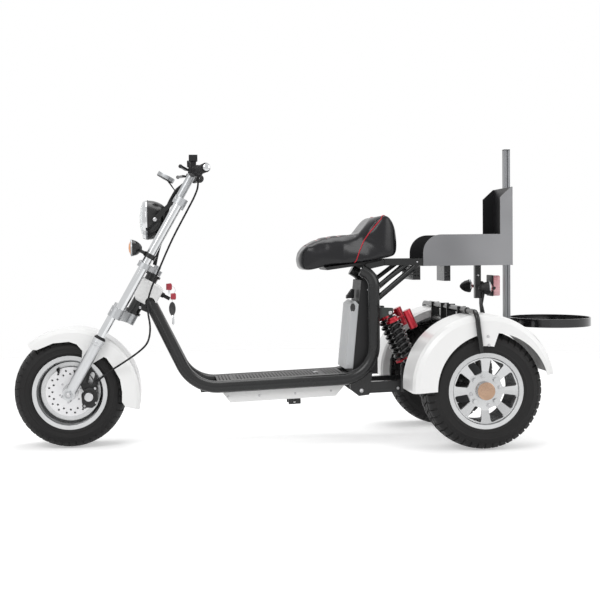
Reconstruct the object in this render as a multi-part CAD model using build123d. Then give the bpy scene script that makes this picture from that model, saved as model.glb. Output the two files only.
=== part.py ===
# Electric golf trike: one front wheel, two rear wheels, step-through deck, saddle,
# bag tray, pole and bag ring. Millimetres. X runs to the rear, Y to the rider's right, Z up.
# Every piece is drawn with the front axle above X = 0, then moved so that the origin is
# on the ground under the middle of the whole length.
import math
import os

from build123d import *

os.makedirs("parts", exist_ok=True)

# Driving sizes
wheelbase = 1532
rearTrack = 672
rakeAngle = 29.6
deckSlopeAngle = 2.3
frontTyreRadius = 215
frontTyreHalfWidth = 110
rearTyreRadius = 222
rearTyreHalfWidth = 97
rimFlangeRadius = 141
overrun = 5
seatGap = 0.3
fitGap = 0.05
runGap = 0.08
sheetThickness = 3
sideGap = 1
fenderGap = 6

# Fork, measured along and across its own raked line from the front axle
sliderRadius = 21
capFlare = 2.5
legSide = frontTyreHalfWidth + fenderGap + sheetThickness + seatGap + sliderRadius + capFlare
stanchionRadius = 16.5
upperTubeRadius = 18
upperTubeOffset = 13.7
stemOffset = 60.5
stemRadius = 14
sliderTop = 222
lowerYokeLow = 332
lowerYokeThickness = 40
upperYokeLow = 548
upperYokeThickness = 20
bridgeLow = 822
bridgeThickness = 30
riserLength = 92
barRadius = 11.1
barRise = 27
barSweep = 34
barHalfLength = 345
barClampSide = 142

# Frame
railRadius = 23
railSide = 128
neckSide = 42
neckX = 307
neckZ = 552
frontCornerX = 468
frontCornerZ = 223.5
postX = 1167
postTopZ = 640
railEndX = 1120
railEndZ = 668
frontBend = 150
rearBend = 130
topBend = 60
panDepth = 66

# Load carrier
trayFloorZ = 681
trayHeight = 122
trayHalfWidth = 131
trayFrontX = 1363
trayRearX = 1720
backTopZ = 987
poleSizeX = 24
poleSizeY = 30
poleLowZ = 440
poleHighZ = 1142
ringTopZ = 468
ringHeight = 33
ringHalfX = 160
ringHalfY = 200
ringBand = 5

# Rear fenders
fenderRadius = 268
fenderCentreX = 1526
fenderCentreZ = 237
fenderInnerSide = 226

ringCentreX = trayRearX + seatGap + poleSizeX + ringBand + ringHalfX
originX = (ringCentreX + ringHalfX - frontTyreRadius) / 2
axleLine = frontTyreRadius
rake = math.radians(rakeAngle)
deckSlope = math.tan(math.radians(deckSlopeAngle))
deckCentreZ = frontCornerZ
fork = Plane(
    origin=(0, 0, axleLine),
    x_dir=(math.cos(rake), 0, -math.sin(rake)),
    z_dir=(math.sin(rake), 0, math.cos(rake)),
)
toFork = fork.location


def deckZ(x):
    return deckCentreZ + (x - frontCornerX) * deckSlope


def save(name, *shapes):
    solids = [solid for shape in shapes for solid in shape.solids()]
    placed = [Location((-originX, 0, 0)) * solid for solid in solids]
    export_step(Compound(children=placed), f"parts/{name}.step")


def block(xLow, xHigh, yLow, yHigh, zLow, zHigh):
    size = (xHigh - xLow, yHigh - yLow, zHigh - zLow)
    middle = ((xLow + xHigh) / 2, (yLow + yHigh) / 2, (zLow + zHigh) / 2)
    return Location(middle) * Box(*size)


def bar(start, end, radius):
    first = Vector(*start)
    last = Vector(*end)
    return Solid.make_cylinder(radius, (last - first).length, Plane(origin=first, z_dir=last - first))


def bent(points, bends, radius):
    path = FilletPolyline(*points, radius=bends)
    section = Plane(origin=path @ 0, z_dir=path % 0) * Circle(radius)
    return sweep(section, path=path)


def sidePlate(points, yLow, yHigh):
    """A plate whose outline is drawn in side view (x, z)."""
    outline = make_face(Polyline(*points, close=True))
    return extrude(Plane.XZ.offset(-yHigh) * outline, amount=yHigh - yLow)


def sideFace(face, yLow, yHigh):
    return extrude(Plane.XZ.offset(-yHigh) * face, amount=yHigh - yLow)


def turned(points, x, y, z, arc=360, start=0):
    """A profile of (radius, side) points, turned about a line along Y through x, z."""
    face = make_face(Polyline(*points, close=True))
    body = revolve(face, axis=Axis.Y, revolution_arc=arc)
    return Location((x, y, z), (0, -start - arc, 0)) * body


def mirrored(shape):
    return mirror(shape, about=Plane.XZ)


def pair(shape):
    return Compound(children=[shape, mirrored(shape)])


# Front wheel
frontRimHalfWidth = 105
beadRadius = 127
barrelRadius = 121
hubRadius = 30
hubHalfWidth = 66
frontAxleRadius = 8
webSide = 34
webThickness = 9
frontDiscRadius = 95
discThickness = 4
discHoleRadius = 4
discHoleCount = 16


def tyre(radius, halfWidth, rimHalfWidth):
    shoulder = radius * 0.055
    bead = beadRadius + seatGap
    innerSide = rimHalfWidth - flangeThickness - seatGap
    half = [
        (radius, halfWidth * 0.62),
        (radius - shoulder * 0.45, halfWidth * 0.83),
        (radius - shoulder * 1.7, halfWidth * 0.95),
        (radius * 0.8, halfWidth),
        (rimFlangeRadius + seatGap + flangeLip, halfWidth * 0.97),
        (rimFlangeRadius + seatGap, innerSide),
        (bead, innerSide),
    ]
    profile = half + [(r, -y) for r, y in reversed(half)]
    return turned(profile, 0, 0, 0)


flangeThickness = 6
flangeLip = 4
rimStep = 8
spacer = 12


def frontRim():
    outer = frontRimHalfWidth
    inner = outer - flangeThickness
    profile = [
        (rimFlangeRadius, -outer),
        (rimFlangeRadius, -inner),
        (beadRadius, -inner),
        (beadRadius, inner),
        (rimFlangeRadius, inner),
        (rimFlangeRadius, outer),
        (barrelRadius + rimStep / 2, outer),
        (barrelRadius, inner),
        (barrelRadius, webSide + webThickness + spacer),
        (barrelRadius - rimStep, webSide + webThickness),
        (hubRadius, webSide + webThickness),
        (hubRadius, hubHalfWidth),
        (frontAxleRadius + runGap, hubHalfWidth),
        (frontAxleRadius + runGap, -hubHalfWidth),
        (hubRadius, -hubHalfWidth),
        (hubRadius, -webSide - webThickness),
        (hubRadius, -webSide),
        (hubRadius, webSide),
        (barrelRadius - rimStep, webSide),
        (barrelRadius - rimStep, -webSide),
        (hubRadius + spacer, -webSide),
        (hubRadius + spacer, -webSide - webThickness),
        (barrelRadius - rimStep, -webSide - webThickness),
        (barrelRadius, -webSide - webThickness - spacer),
        (barrelRadius, -inner),
        (barrelRadius + rimStep / 2, -outer),
    ]
    return turned(profile, 0, 0, axleLine)


def frontDisc():
    ring = Cylinder(frontDiscRadius, discThickness) - Cylinder(hubRadius + fitGap, discThickness + overrun)
    hole = Cylinder(discHoleRadius, discThickness + overrun)
    for reachShare, turn in ((0.72, 0), (0.86, 0.5)):
        for i in range(discHoleCount):
            angle = 360 / discHoleCount * (i + turn)
            ring -= Rot(0, 0, angle) * Pos(frontDiscRadius * reachShare, 0, 0) * hole
    return Location((0, -hubHalfWidth + discThickness / 2, axleLine), (90, 0, 0)) * ring


save("front_tyre", Pos(0, 0, axleLine) * tyre(frontTyreRadius, frontTyreHalfWidth, frontRimHalfWidth))
save("front_rim", frontRim())
save("front_disc", frontDisc())

# Rear wheels
rearRimHalfWidth = 89
rearHubRadius = 38
rearHubInner = 40
faceSide = 74
faceThickness = 12
windowCount = 8
windowInner = 66
windowOuter = 116
windowAngle = 30
lugCount = 4
lugReach = 55
lugRadius = 9
lugHeight = 12
capRadius = 34
capHeight = 16
rearAxleRadius = 12


def rearRim():
    outer = rearRimHalfWidth
    inner = outer - flangeThickness
    profile = [
        (rimFlangeRadius, -outer),
        (rimFlangeRadius, -inner),
        (beadRadius, -inner),
        (beadRadius, inner),
        (rimFlangeRadius, inner),
        (rimFlangeRadius, outer),
        (barrelRadius + rimStep / 2, outer),
        (barrelRadius, inner),
        (barrelRadius, -faceSide + faceThickness),
        (rearHubRadius, -faceSide + faceThickness),
        (rearHubRadius, rearHubInner),
        (rearAxleRadius + runGap, rearHubInner),
        (rearAxleRadius + runGap, -faceSide + faceThickness),
        (0, -faceSide + faceThickness),
        (0, -faceSide),
        (lugReach + lugRadius * 2, -faceSide),
        (barrelRadius, -inner),
        (barrelRadius + rimStep / 2, -outer),
    ]
    rim = turned(profile, 0, 0, 0)
    half = math.radians(windowAngle / 2)
    inHalf = windowInner * math.tan(half) * 0.8
    outHalf = windowOuter * math.tan(half) * 0.9
    window = make_face(
        Polyline(
            (windowInner, -inHalf),
            (windowOuter, -outHalf),
            (windowOuter, outHalf),
            (windowInner, inHalf),
            close=True,
        )
    )
    window = fillet(window.vertices(), inHalf * 0.45)
    cutter = sideFace(window, -rearRimHalfWidth, -faceSide + faceThickness + overrun)
    for i in range(windowCount):
        rim -= Location((0, 0, 0), (0, 360 / windowCount * (i + 0.5), 0)) * cutter
    for i in range(lugCount):
        angle = math.radians(360 / lugCount * (i + 0.5))
        x, z = lugReach * math.cos(angle), lugReach * math.sin(angle)
        rim += bar((x, -faceSide, z), (x, -faceSide - lugHeight, z), lugRadius)
    return rim


def rearCap():
    profile = [
        (0, -faceSide),
        (capRadius, -faceSide),
        (capRadius * 0.92, -faceSide - capHeight * 0.7),
        (capRadius * 0.6, -faceSide - capHeight),
        (0, -faceSide - capHeight),
    ]
    return turned(profile, 0, 0, 0)


rearSide = rearTrack / 2
rearTyre = tyre(rearTyreRadius, rearTyreHalfWidth, rearRimHalfWidth)
rearHub = Pos(wheelbase, -rearSide, rearTyreRadius) * rearRim()
rearHubCap = Pos(wheelbase, -rearSide, rearTyreRadius) * rearCap()
rearTyreLeft = Pos(wheelbase, -rearSide, rearTyreRadius) * rearTyre
save("rear_tyre_left", rearTyreLeft)
save("rear_rim_left", rearHub, rearHubCap)
save("rear_tyre_right", mirrored(rearTyreLeft))
save("rear_rim_right", mirrored(rearHub), mirrored(rearHubCap))

# Front fork, drawn in its own raked frame: local X across the leg, local Z along it
capHeightFork = 14
legLow = -24
lugWidthHalf = 13
stanchionLow = 150
axleNutRadius = 14
axleNutHeight = 9
yokeRadius = 26
yokeNarrow = 20
stemNutHeight = 14
headRadius = 25
cupRadius = 31
cupHeight = 10
headGap = 2
stemTop = upperYokeLow + upperYokeThickness + stemNutHeight
lowerYokeHigh = lowerYokeLow + lowerYokeThickness
yokeSplit = lowerYokeLow + lowerYokeThickness / 2
tubeTop = bridgeLow + bridgeThickness


def slider():
    leg = bar((0, -legSide, legLow), (0, -legSide, sliderTop), sliderRadius)
    leg += bar((0, -legSide, sliderTop), (0, -legSide, sliderTop + capHeightFork), sliderRadius + capFlare)
    leg += bar((0, -legSide - lugWidthHalf, 0), (0, -legSide + lugWidthHalf, 0), sliderRadius + capFlare)
    leg -= bar((0, -legSide, stanchionLow), (0, -legSide, sliderTop + capHeightFork + overrun),
               stanchionRadius + fitGap)
    leg -= bar((0, -legSide - sliderRadius - overrun * 2, 0), (0, -legSide + sliderRadius + overrun * 2, 0),
               frontAxleRadius + fitGap)
    return leg


def forkTube():
    lower = bar((0, -legSide, stanchionLow), (0, -legSide, yokeSplit - seatGap), stanchionRadius)
    upper = bar((upperTubeOffset, -legSide, yokeSplit + seatGap), (upperTubeOffset, -legSide, tubeTop),
                upperTubeRadius)
    return Compound(children=[lower, upper])


def yokeOutline(across, side, stemAt, middleRadius):
    ends = Pos(across, side) * Circle(yokeRadius) + Pos(across, -side) * Circle(yokeRadius)
    middle = Pos(stemAt, 0) * Circle(middleRadius)
    web = make_face(Polyline(
        (across - yokeNarrow, -side),
        (across - yokeNarrow, side),
        (across + yokeNarrow, side),
        (stemAt, yokeRadius),
        (stemAt, -yokeRadius),
        (across + yokeNarrow, -side),
        close=True,
    ))
    return ends + middle + web


def lowerYoke():
    body = Pos(0, 0, lowerYokeLow) * extrude(
        yokeOutline(upperTubeOffset / 2, legSide, stemOffset, yokeRadius), amount=lowerYokeThickness)
    for side in (-legSide, legSide):
        body -= bar((0, side, lowerYokeLow - overrun), (0, side, yokeSplit), stanchionRadius + fitGap)
        body -= bar((upperTubeOffset, side, yokeSplit), (upperTubeOffset, side, lowerYokeHigh + overrun),
                    upperTubeRadius + fitGap)
    body += bar((stemOffset, 0, lowerYokeHigh - overrun), (stemOffset, 0, stemTop), stemRadius)
    return body


def upperYoke(low, thickness, stemHole, across):
    stemAt = stemOffset if stemHole else across
    outline = yokeOutline(across, legSide, stemAt, yokeRadius if stemHole else yokeNarrow)
    body = Pos(0, 0, low) * extrude(outline, amount=thickness)
    for side in (-legSide, legSide):
        body -= bar((upperTubeOffset, side, low - overrun), (upperTubeOffset, side, low + thickness + overrun),
                    upperTubeRadius + fitGap)
    if stemHole:
        body -= bar((stemOffset, 0, low - overrun), (stemOffset, 0, low + thickness + overrun),
                    stemRadius + fitGap)
    return body


barLocalZ = tubeTop + riserLength + barRadius
barLocalX = 4
bendRadius = 60
riserRadius = 15
riserCapHeight = 16
gripRadius = 16.5
gripStart = 215
gripEnd = 338
endPlugRadius = 14
endPlugLength = 7


def barPoint(side):
    """A point of the handlebar's outer straight at this side distance."""
    share = (abs(side) - barClampSide) / (barHalfLength - barClampSide)
    return (barLocalX + barSweep * share, side, barLocalZ + barRise * share)


def handlebar():
    points = [barPoint(-barHalfLength), barPoint(-barClampSide), barPoint(barClampSide), barPoint(barHalfLength)]
    return bent(points, [bendRadius, bendRadius], barRadius)


def risers():
    shapes = []
    for side in (-1, 1):
        y = side * (barClampSide - riserRadius * 2.4)
        riser = bar((barLocalX, y, tubeTop), (barLocalX, y, barLocalZ + riserCapHeight), riserRadius)
        riser -= bar((barLocalX, y - riserRadius * 2, barLocalZ), (barLocalX, y + riserRadius * 2, barLocalZ),
                     barRadius + fitGap)
        shapes.append(riser)
    return Compound(children=shapes)


def grips():
    shapes = []
    for side in (-1, 1):
        grip = bar(barPoint(side * gripStart), barPoint(side * gripEnd), gripRadius)
        grip -= bar(barPoint(side * (gripStart - overrun * 2)), barPoint(side * (gripEnd + overrun * 2)),
                    barRadius + seatGap)
        shapes.append(grip)
    return Compound(children=shapes)


podWidth = 34
podRadius = 21
podGap = 3
perchForward = 30
perchTilt = 20
leverForward = 77
reservoirSize = 32
reservoirHeight = 24
reservoirRise = 42
reservoirWidth = 42


def swung(x, z, angle):
    """Turn about the handlebar at (x, z) in the fork's own frame."""
    return Pos(x, 0, z) * Rot(0, -angle, 0) * Pos(-x, 0, -z)


def switchPods():
    shapes = []
    for side in (-1, 1):
        inner = gripStart - podGap - podWidth
        outer = gripStart - podGap
        pod = bar(barPoint(side * inner), barPoint(side * outer), podRadius)
        cx, cy, cz = barPoint(side * (inner + outer) / 2)
        stalk = block(cx - perchForward, cx, cy - podWidth / 2, cy + podWidth / 2,
                      cz - podWidth / 3, cz + podWidth / 3)
        pod += swung(cx, cz, perchTilt) * stalk
        pod -= bar(barPoint(side * (inner - overrun * 2)), barPoint(side * (outer + overrun * 2)),
                   barRadius + seatGap)
        shapes.append(pod)
    return Compound(children=shapes)


leverThickness = 8
leverWidth = 15
leverReach = 128
leverBallRadius = 7.5


def brakeLevers():
    shapes = []
    for side in (-1, 1):
        inner = gripStart - podGap - podWidth / 2
        cx, cy, cz = barPoint(side * inner)
        ex, ey, ez = barPoint(side * (inner + leverReach))
        x0 = cx - perchForward - seatGap
        points = [
            (x0, cy - side * leverWidth / 2),
            (x0, cy + side * leverWidth / 2),
            (ex - leverForward, ey),
            (ex - leverForward - leverWidth * 0.8, ey),
            (x0 - leverWidth, cy + side * leverWidth / 2),
            (x0 - leverWidth, cy - side * leverWidth / 2),
        ]
        face = make_face(Polyline(*points, close=True))
        arm = Pos(0, 0, cz - leverThickness / 2) * extrude(face, amount=leverThickness)
        tip = Pos(ex - leverForward - leverWidth * 0.4, ey, cz) * Sphere(leverBallRadius)
        shapes.append(swung(cx, cz, perchTilt) * (arm + tip))
    return Compound(children=shapes)


def masterCylinders():
    shapes = []
    for side in (-1, 1):
        inner = gripStart - podGap * 4 - podWidth - reservoirWidth
        cx, cy, cz = barPoint(side * (inner + reservoirWidth / 2))
        z0 = cz + reservoirRise
        middle = inner + reservoirWidth / 2
        outer = inner + reservoirWidth
        clamp = bar(barPoint(side * middle), barPoint(side * outer), podRadius * 0.85)
        clamp -= bar(barPoint(side * (middle - overrun)), barPoint(side * (outer + overrun)), barRadius + seatGap)
        tank = block(cx - reservoirSize / 2, cx + reservoirSize / 2, cy - reservoirWidth / 2,
                     cy + reservoirWidth / 2, z0, z0 + reservoirHeight)
        neck = block(cx - barRadius, cx + barRadius, cy - reservoirWidth / 3, cy + reservoirWidth / 3,
                     cz + barRadius * 1.2, z0 + barRadius / 2)
        shapes.append(clamp + swung(cx, cz, rakeAngle) * (tank + neck))
    return Compound(children=shapes)


save("fork_sliders", toFork * pair(slider()))
save("fork_tubes", toFork * pair(forkTube()))
save("lower_yoke", toFork * lowerYoke())
save("upper_yokes", toFork * upperYoke(upperYokeLow, upperYokeThickness, True, upperTubeOffset),
     toFork * upperYoke(bridgeLow, bridgeThickness, False, upperTubeOffset))
save("handlebar", toFork * handlebar())
save("bar_risers", toFork * risers())
save("grips", toFork * grips())
save("brake_levers", toFork * brakeLevers())
save("bar_controls", toFork * switchPods(), toFork * masterCylinders())

# Front axle, caliper, fender
axleHalfLength = legSide + sliderRadius + axleNutHeight
spacerRadius = 13


def frontAxle():
    shaft = bar((0, -axleHalfLength, axleLine), (0, axleHalfLength, axleLine), frontAxleRadius)
    nutFace = legSide + sliderRadius + capFlare
    for side in (-1, 1):
        shaft += bar((0, side * (nutFace + seatGap), axleLine),
                     (0, side * (axleHalfLength + axleNutHeight), axleLine), axleNutRadius)
        shaft += bar((0, side * (hubHalfWidth + sideGap), axleLine),
                     (0, side * (legSide - sliderRadius - capFlare - seatGap), axleLine), spacerRadius)
    return shaft


caliperX = 70
caliperZ = 195
caliperRadius = 32
caliperInner = 49
caliperOuter = 112
caliperSlot = 2
bracketThickness = 8
bracketLowZ = 222
bracketHighZ = 318
bracketRearX = 108


def caliperBracket():
    """Plate from the left slider's rear side down to the caliper, with a long hole."""
    outline = make_face(Polyline(
        (caliperX - caliperRadius * 0.6, bracketLowZ),
        (caliperX + caliperRadius * 0.75, bracketLowZ),
        (bracketRearX, bracketLowZ + caliperRadius),
        (bracketRearX - bracketThickness, bracketHighZ - caliperRadius),
        (caliperX + bracketThickness, bracketHighZ),
        (caliperX - bracketThickness * 2, bracketHighZ - bracketThickness),
        (caliperX - caliperRadius, bracketLowZ + caliperRadius),
        close=True,
    ))
    outline = fillet(outline.vertices(), bracketThickness)
    hole = Pos(caliperX + caliperRadius * 0.4, (bracketLowZ + bracketHighZ) / 2) * SlotOverall(
        caliperRadius * 1.5, bracketThickness * 2.2, rotation=75)
    face = outline - hole
    outer = -caliperOuter - bracketThickness
    plate = sideFace(face, outer, -caliperOuter)
    lug = sidePlate([
        (caliperX - caliperRadius * 1.6, bracketHighZ - bracketThickness * 2),
        (caliperX, bracketHighZ - bracketThickness * 2),
        (caliperX - bracketThickness, bracketLowZ + caliperRadius),
        (caliperX - caliperRadius * 1.6, bracketLowZ + caliperRadius),
    ], -legSide, outer + bracketThickness)
    slider = toFork * bar((0, -legSide, 0), (0, -legSide, sliderTop), sliderRadius + seatGap)
    lug -= slider
    lug = max(lug.solids(), key=lambda solid: solid.center().X)
    neck = block(caliperX - caliperRadius * 0.6, caliperX + caliperRadius * 0.75, outer, -caliperOuter,
                 caliperZ + caliperRadius * 0.4, bracketLowZ + bracketThickness)
    return plate + lug + neck


def frontCaliper():
    y0 = -caliperOuter
    body = block(caliperX - caliperRadius * 0.6, caliperX + caliperRadius * 0.75, y0, -caliperInner,
                 caliperZ - caliperRadius, caliperZ + caliperRadius)
    discMiddle = -hubHalfWidth + discThickness / 2
    slot = Location((0, discMiddle, axleLine), (90, 0, 0)) * Cylinder(
        frontDiscRadius + caliperSlot, discThickness + caliperSlot * 2)
    knob = bar((caliperX, y0 - bracketThickness, caliperZ), (caliperX, y0, caliperZ), caliperRadius / 2)
    return body - slot + knob + caliperBracket()


frontFenderX = 8
frontFenderZ = 200
frontFenderRadius = 260
frontFenderStart = -12
frontFenderEnd = 129
frontFenderSide = frontTyreHalfWidth + fenderGap
fenderBossRadius = 10
fenderBossZ = 340
# The skirt's lower edge: angle above the rear, and distance as a share of the fender's radius
skirtEdgeShares = (
    (130, 0.92), (125, 0.85), (108, 0.83), (92, 0.808), (84, 0.774), (76.5, 0.692), (74.6, 0.578), (65, 0.511),
    (58, 0.565), (51, 0.744), (47.7, 0.754), (34.5, 0.733), (19, 0.739), (4.5, 0.729), (-7, 0.728), (-14, 0.82),
)


def frontFender():
    side = frontFenderSide + sheetThickness
    outer = frontFenderRadius
    inner = outer - sheetThickness
    crown = 16
    low = outer / 2
    half = [
        (low, side),
        (outer - crown, side),
        (outer - crown * 0.3, side - crown * 0.45),
        (outer, side - crown * 1.5),
    ]
    half += [(r, -y) for r, y in reversed(half)]
    hollow = [
        (low, -side + sheetThickness),
        (inner - crown, -side + sheetThickness),
        (inner - crown * 0.3, -side + crown * 0.45 + sheetThickness),
        (inner, -side + crown * 1.5),
    ]
    hollow += [(r, -y) for r, y in reversed(hollow)]
    shell = turned(half + hollow, frontFenderX, 0, frontFenderZ, arc=frontFenderEnd - frontFenderStart,
                   start=frontFenderStart)
    edge = [(frontFenderX, frontFenderZ)]
    for angle, share in skirtEdgeShares:
        reach = outer * share
        edge.append((frontFenderX + reach * math.cos(math.radians(angle)),
                     frontFenderZ + reach * math.sin(math.radians(angle))))
    shell -= sidePlate(edge, -side - overrun, side + overrun)
    bossX = (fenderBossZ - axleLine) * math.tan(rake)
    for turn in (-1, 1):
        shell += bar((bossX, turn * (side - sheetThickness / 2), fenderBossZ),
                     (bossX, turn * (legSide - sliderRadius - seatGap), fenderBossZ), fenderBossRadius)
    return shell


save("front_axle", frontAxle())
save("front_caliper", frontCaliper())
save("front_fender", frontFender())

# Headlamp, on the fork, its own axis level along X
lampX = 302
lampZ = 870
lampRadius = 76
lampRingDepth = 19
lampRingWidth = 9
lampDepth = 88
lensBulge = 12
armSide = 80
armThickness = 4
armWidth = 24
lampPivotX = 330
pivotRadius = 9


def lampTurned(points):
    face = make_face(Polyline(*points, close=True))
    return Pos(0, 0, lampZ) * revolve(face, axis=Axis.X, revolution_arc=360)


def lampShell():
    back = lampX + lampDepth
    bowl = Spline(
        (lampX, lampRadius - seatGap),
        (lampX + lampDepth * 0.3, lampRadius * 0.96),
        (lampX + lampDepth * 0.65, lampRadius * 0.78),
        (lampX + lampDepth * 0.9, lampRadius * 0.46),
        (back, lampRadius * 0.2),
    )
    rest = Polyline((back, lampRadius * 0.2), (back, 0), (lampX, 0), (lampX, lampRadius - seatGap))
    return Pos(0, 0, lampZ) * revolve(make_face(bowl + rest), axis=Axis.X, revolution_arc=360)


def lampRing():
    front = lampX - lampRingDepth
    inner = lampRadius - lampRingWidth
    return lampTurned([
        (lampX - seatGap, lampRadius),
        (lampX - lampRingDepth * 0.4, lampRadius),
        (front, inner + lampRingWidth * 0.4),
        (front, inner),
        (lampX - seatGap, inner),
    ])


def lampLens():
    radius = lampRadius - lampRingWidth - seatGap
    front = lampX - lampRingDepth
    return lampTurned([
        (lampX - seatGap, 0),
        (lampX - seatGap, radius),
        (front, radius),
        (front - lensBulge * 0.6, radius * 0.7),
        (front - lensBulge * 0.95, radius * 0.35),
        (front - lensBulge, 0),
    ])


def toLocal(x, z):
    """Across and along the fork, for a point of the side view."""
    rise = z - axleLine
    return (x * math.cos(rake) - rise * math.sin(rake), x * math.sin(rake) + rise * math.cos(rake))


def lampBracket():
    across, along = toLocal(lampPivotX, lampZ)
    face = upperTubeOffset - yokeNarrow - seatGap
    arm = [
        (across - armWidth / 2, along - armWidth * 0.3),
        (across + armWidth / 2, along - armWidth * 0.3),
        (face, bridgeLow),
        (face, tubeTop),
        (face - armThickness, tubeTop),
    ]
    bracket = block(face - armThickness, face, -armSide, armSide, bridgeLow, tubeTop)
    for side in (-1, 1):
        low = armSide if side > 0 else -armSide - armThickness
        bracket += sidePlate(arm, low, low + armThickness)
        bracket += bar((across, side * (lampRadius * 0.97), along),
                       (across, side * (armSide + armThickness * 2), along), pivotRadius)
    lampBody = toFork.inverse() * lampShell()
    return bracket - lampBody


save("headlamp_shell", lampShell())
save("headlamp_ring", lampRing())
save("headlamp_lens", lampLens())
save("headlamp_bracket", toFork * lampBracket())

# Front signal lamps and the round speedometer
signalAcross = -50
signalAlong = 592
signalRadius = 31
signalDepth = 46
stemBarRadius = 6
clampThickness = 6
clampHeight = 18
dialAcross = -80
dialAlong = 897
dialRadius = 34
dialDepth = 16
dialArm = 8


def signalBody(radius, depth):
    """Lamp with its lens towards -X and its round back towards +X, about the origin."""
    return revolve(make_face(Polyline(
        (-depth / 2, 0),
        (-depth * 0.45, radius * 0.5),
        (-depth * 0.32, radius * 0.86),
        (-depth * 0.32, radius),
        (-depth * 0.2, radius),
        (depth * 0.1, radius * 0.86),
        (depth * 0.35, radius * 0.55),
        (depth * 0.5, radius * 0.2),
        (depth * 0.5, 0),
        close=True,
    )), axis=Axis.X, revolution_arc=360)


def frontSignals():
    shapes = []
    for side in (-legSide, legSide):
        clamp = bar((upperTubeOffset, side, signalAlong), (upperTubeOffset, side, signalAlong + clampHeight),
                    upperTubeRadius + clampThickness)
        clamp += bar((upperTubeOffset, side, signalAlong + clampHeight / 2),
                     (signalAcross, side, signalAlong + clampHeight / 2), stemBarRadius)
        clamp -= bar((upperTubeOffset, side, signalAlong - overrun),
                     (upperTubeOffset, side, signalAlong + clampHeight + overrun), upperTubeRadius + seatGap)
        place = Location((signalAcross, side, signalAlong + clampHeight / 2), (0, -rakeAngle, 0))
        shapes.append(clamp + place * signalBody(signalRadius, signalDepth))
    return Compound(children=shapes)


def speedometer():
    arm = sidePlate([
        (upperTubeOffset - yokeNarrow * 0.6, tubeTop + seatGap),
        (upperTubeOffset, tubeTop + seatGap),
        (dialAcross + dialArm, dialAlong),
        (dialAcross - dialArm, dialAlong),
        (upperTubeOffset - yokeNarrow * 0.6 - dialArm, tubeTop + dialArm + seatGap),
    ], -dialArm, dialArm)
    dial = bar((dialAcross, 0, dialAlong - dialDepth / 2), (dialAcross, 0, dialAlong + dialDepth / 2), dialRadius)
    return arm + dial


save("front_signals", toFork * frontSignals())
save("speedometer", toFork * speedometer())

# Frame: two side rails from the steering head, along the deck and up under the saddle
headTubeLow = lowerYokeHigh + headGap
headTubeHigh = upperYokeLow - headGap
deckPlane = Plane(
    origin=(frontCornerX, 0, frontCornerZ),
    x_dir=(math.cos(math.radians(deckSlopeAngle)), 0, math.sin(math.radians(deckSlopeAngle))),
    z_dir=(-math.sin(math.radians(deckSlopeAngle)), 0, math.cos(math.radians(deckSlopeAngle))),
)
toDeck = deckPlane.location
crossHalf = 15
neckBarRadius = 19
coverFrontAcross = 27
coverRearAcross = 123
coverTopAlong = 517
coverRearAlong = 452
coverLowAlong = 428
coverHalf = 62
coverCorner = 16
coverEdge = 5
crossPlaces = (42, 605)
floorTop = 20.9
floorThickness = 4
floorFront = 92
floorRear = 585
lidFront = 160
lidLength = 347
lidHalfWidth = 88
lidGap = 1.5
ledgeWidth = 8
pivotPlateThickness = 8
pivotX = 1118
pivotZ = 200
pivotBoltRadius = 10
boxRearX = 1186
shockTopX = 1235
shockTopZ = 500
shockCrossThickness = 10
shockPlateX = boxRearX + seatGap + shockCrossThickness
armHeight = 44
armSideAt = 96
armWidthHalf = 14


def rail():
    points = [
        (neckX, neckSide, neckZ),
        (frontCornerX, railSide, frontCornerZ),
        (postX, railSide, deckZ(postX)),
        (postX, railSide, postTopZ),
        (railEndX, railSide, railEndZ),
    ]
    return bent(points, [frontBend, rearBend, topBend], railRadius)


def mainFrame():
    frame = rail()
    frame += mirrored(rail())
    for place in crossPlaces:
        frame += toDeck * block(place - crossHalf, place + crossHalf, -railSide + crossHalf, railSide - crossHalf,
                                -railRadius * 0.8, railRadius * 0.4)
    frame += block(postX - crossHalf, postX + crossHalf, -railSide + crossHalf, railSide - crossHalf,
                   postTopZ - railRadius * 0.3, postTopZ + railRadius * 0.5)
    frame += block(boxRearX + seatGap, shockPlateX, -railSide, railSide, shockTopZ - railRadius,
                   shockTopZ + railRadius)
    head = bar((stemOffset, 0, headTubeLow + cupHeight), (stemOffset, 0, headTubeHigh - cupHeight), headRadius)
    head += bar((stemOffset, 0, headTubeLow), (stemOffset, 0, headTubeLow + cupHeight), cupRadius)
    head += bar((stemOffset, 0, headTubeHigh - cupHeight), (stemOffset, 0, headTubeHigh), cupRadius)
    head = toFork * head
    neck = bar((neckX, -neckSide, neckZ), (neckX, neckSide, neckZ), neckBarRadius)
    gusset = sidePlate([
        (neckX - railRadius * 2.2, neckZ - railRadius),
        (neckX - railRadius * 1.4, neckZ + railRadius),
        (neckX, neckZ + railRadius),
        (neckX + railRadius * 2, neckZ - railRadius * 4),
        (neckX, neckZ - railRadius * 2),
    ], -neckSide * 0.5, neckSide * 0.5)
    frame += neck + gusset + head
    for side in (-1, 1):
        low = side * armSideAt + (armWidthHalf if side > 0 else -armWidthHalf - pivotPlateThickness)
        plate = sidePlate([
            (pivotX - armHeight, deckZ(pivotX) - railRadius * 0.2),
            (pivotX - armHeight, pivotZ + armHeight * 0.1),
            (pivotX - pivotBoltRadius, pivotZ - armHeight * 0.5),
            (pivotX + armHeight * 0.7, pivotZ - armHeight * 0.4),
            (pivotX + armHeight, deckZ(pivotX) + railRadius),
        ], low + seatGap * side, low + pivotPlateThickness + seatGap * side)
        frame += plate
    bore = toFork * bar((stemOffset, 0, headTubeLow - overrun), (stemOffset, 0, headTubeHigh + overrun),
                        stemRadius + runGap)
    return frame - bore


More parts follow.
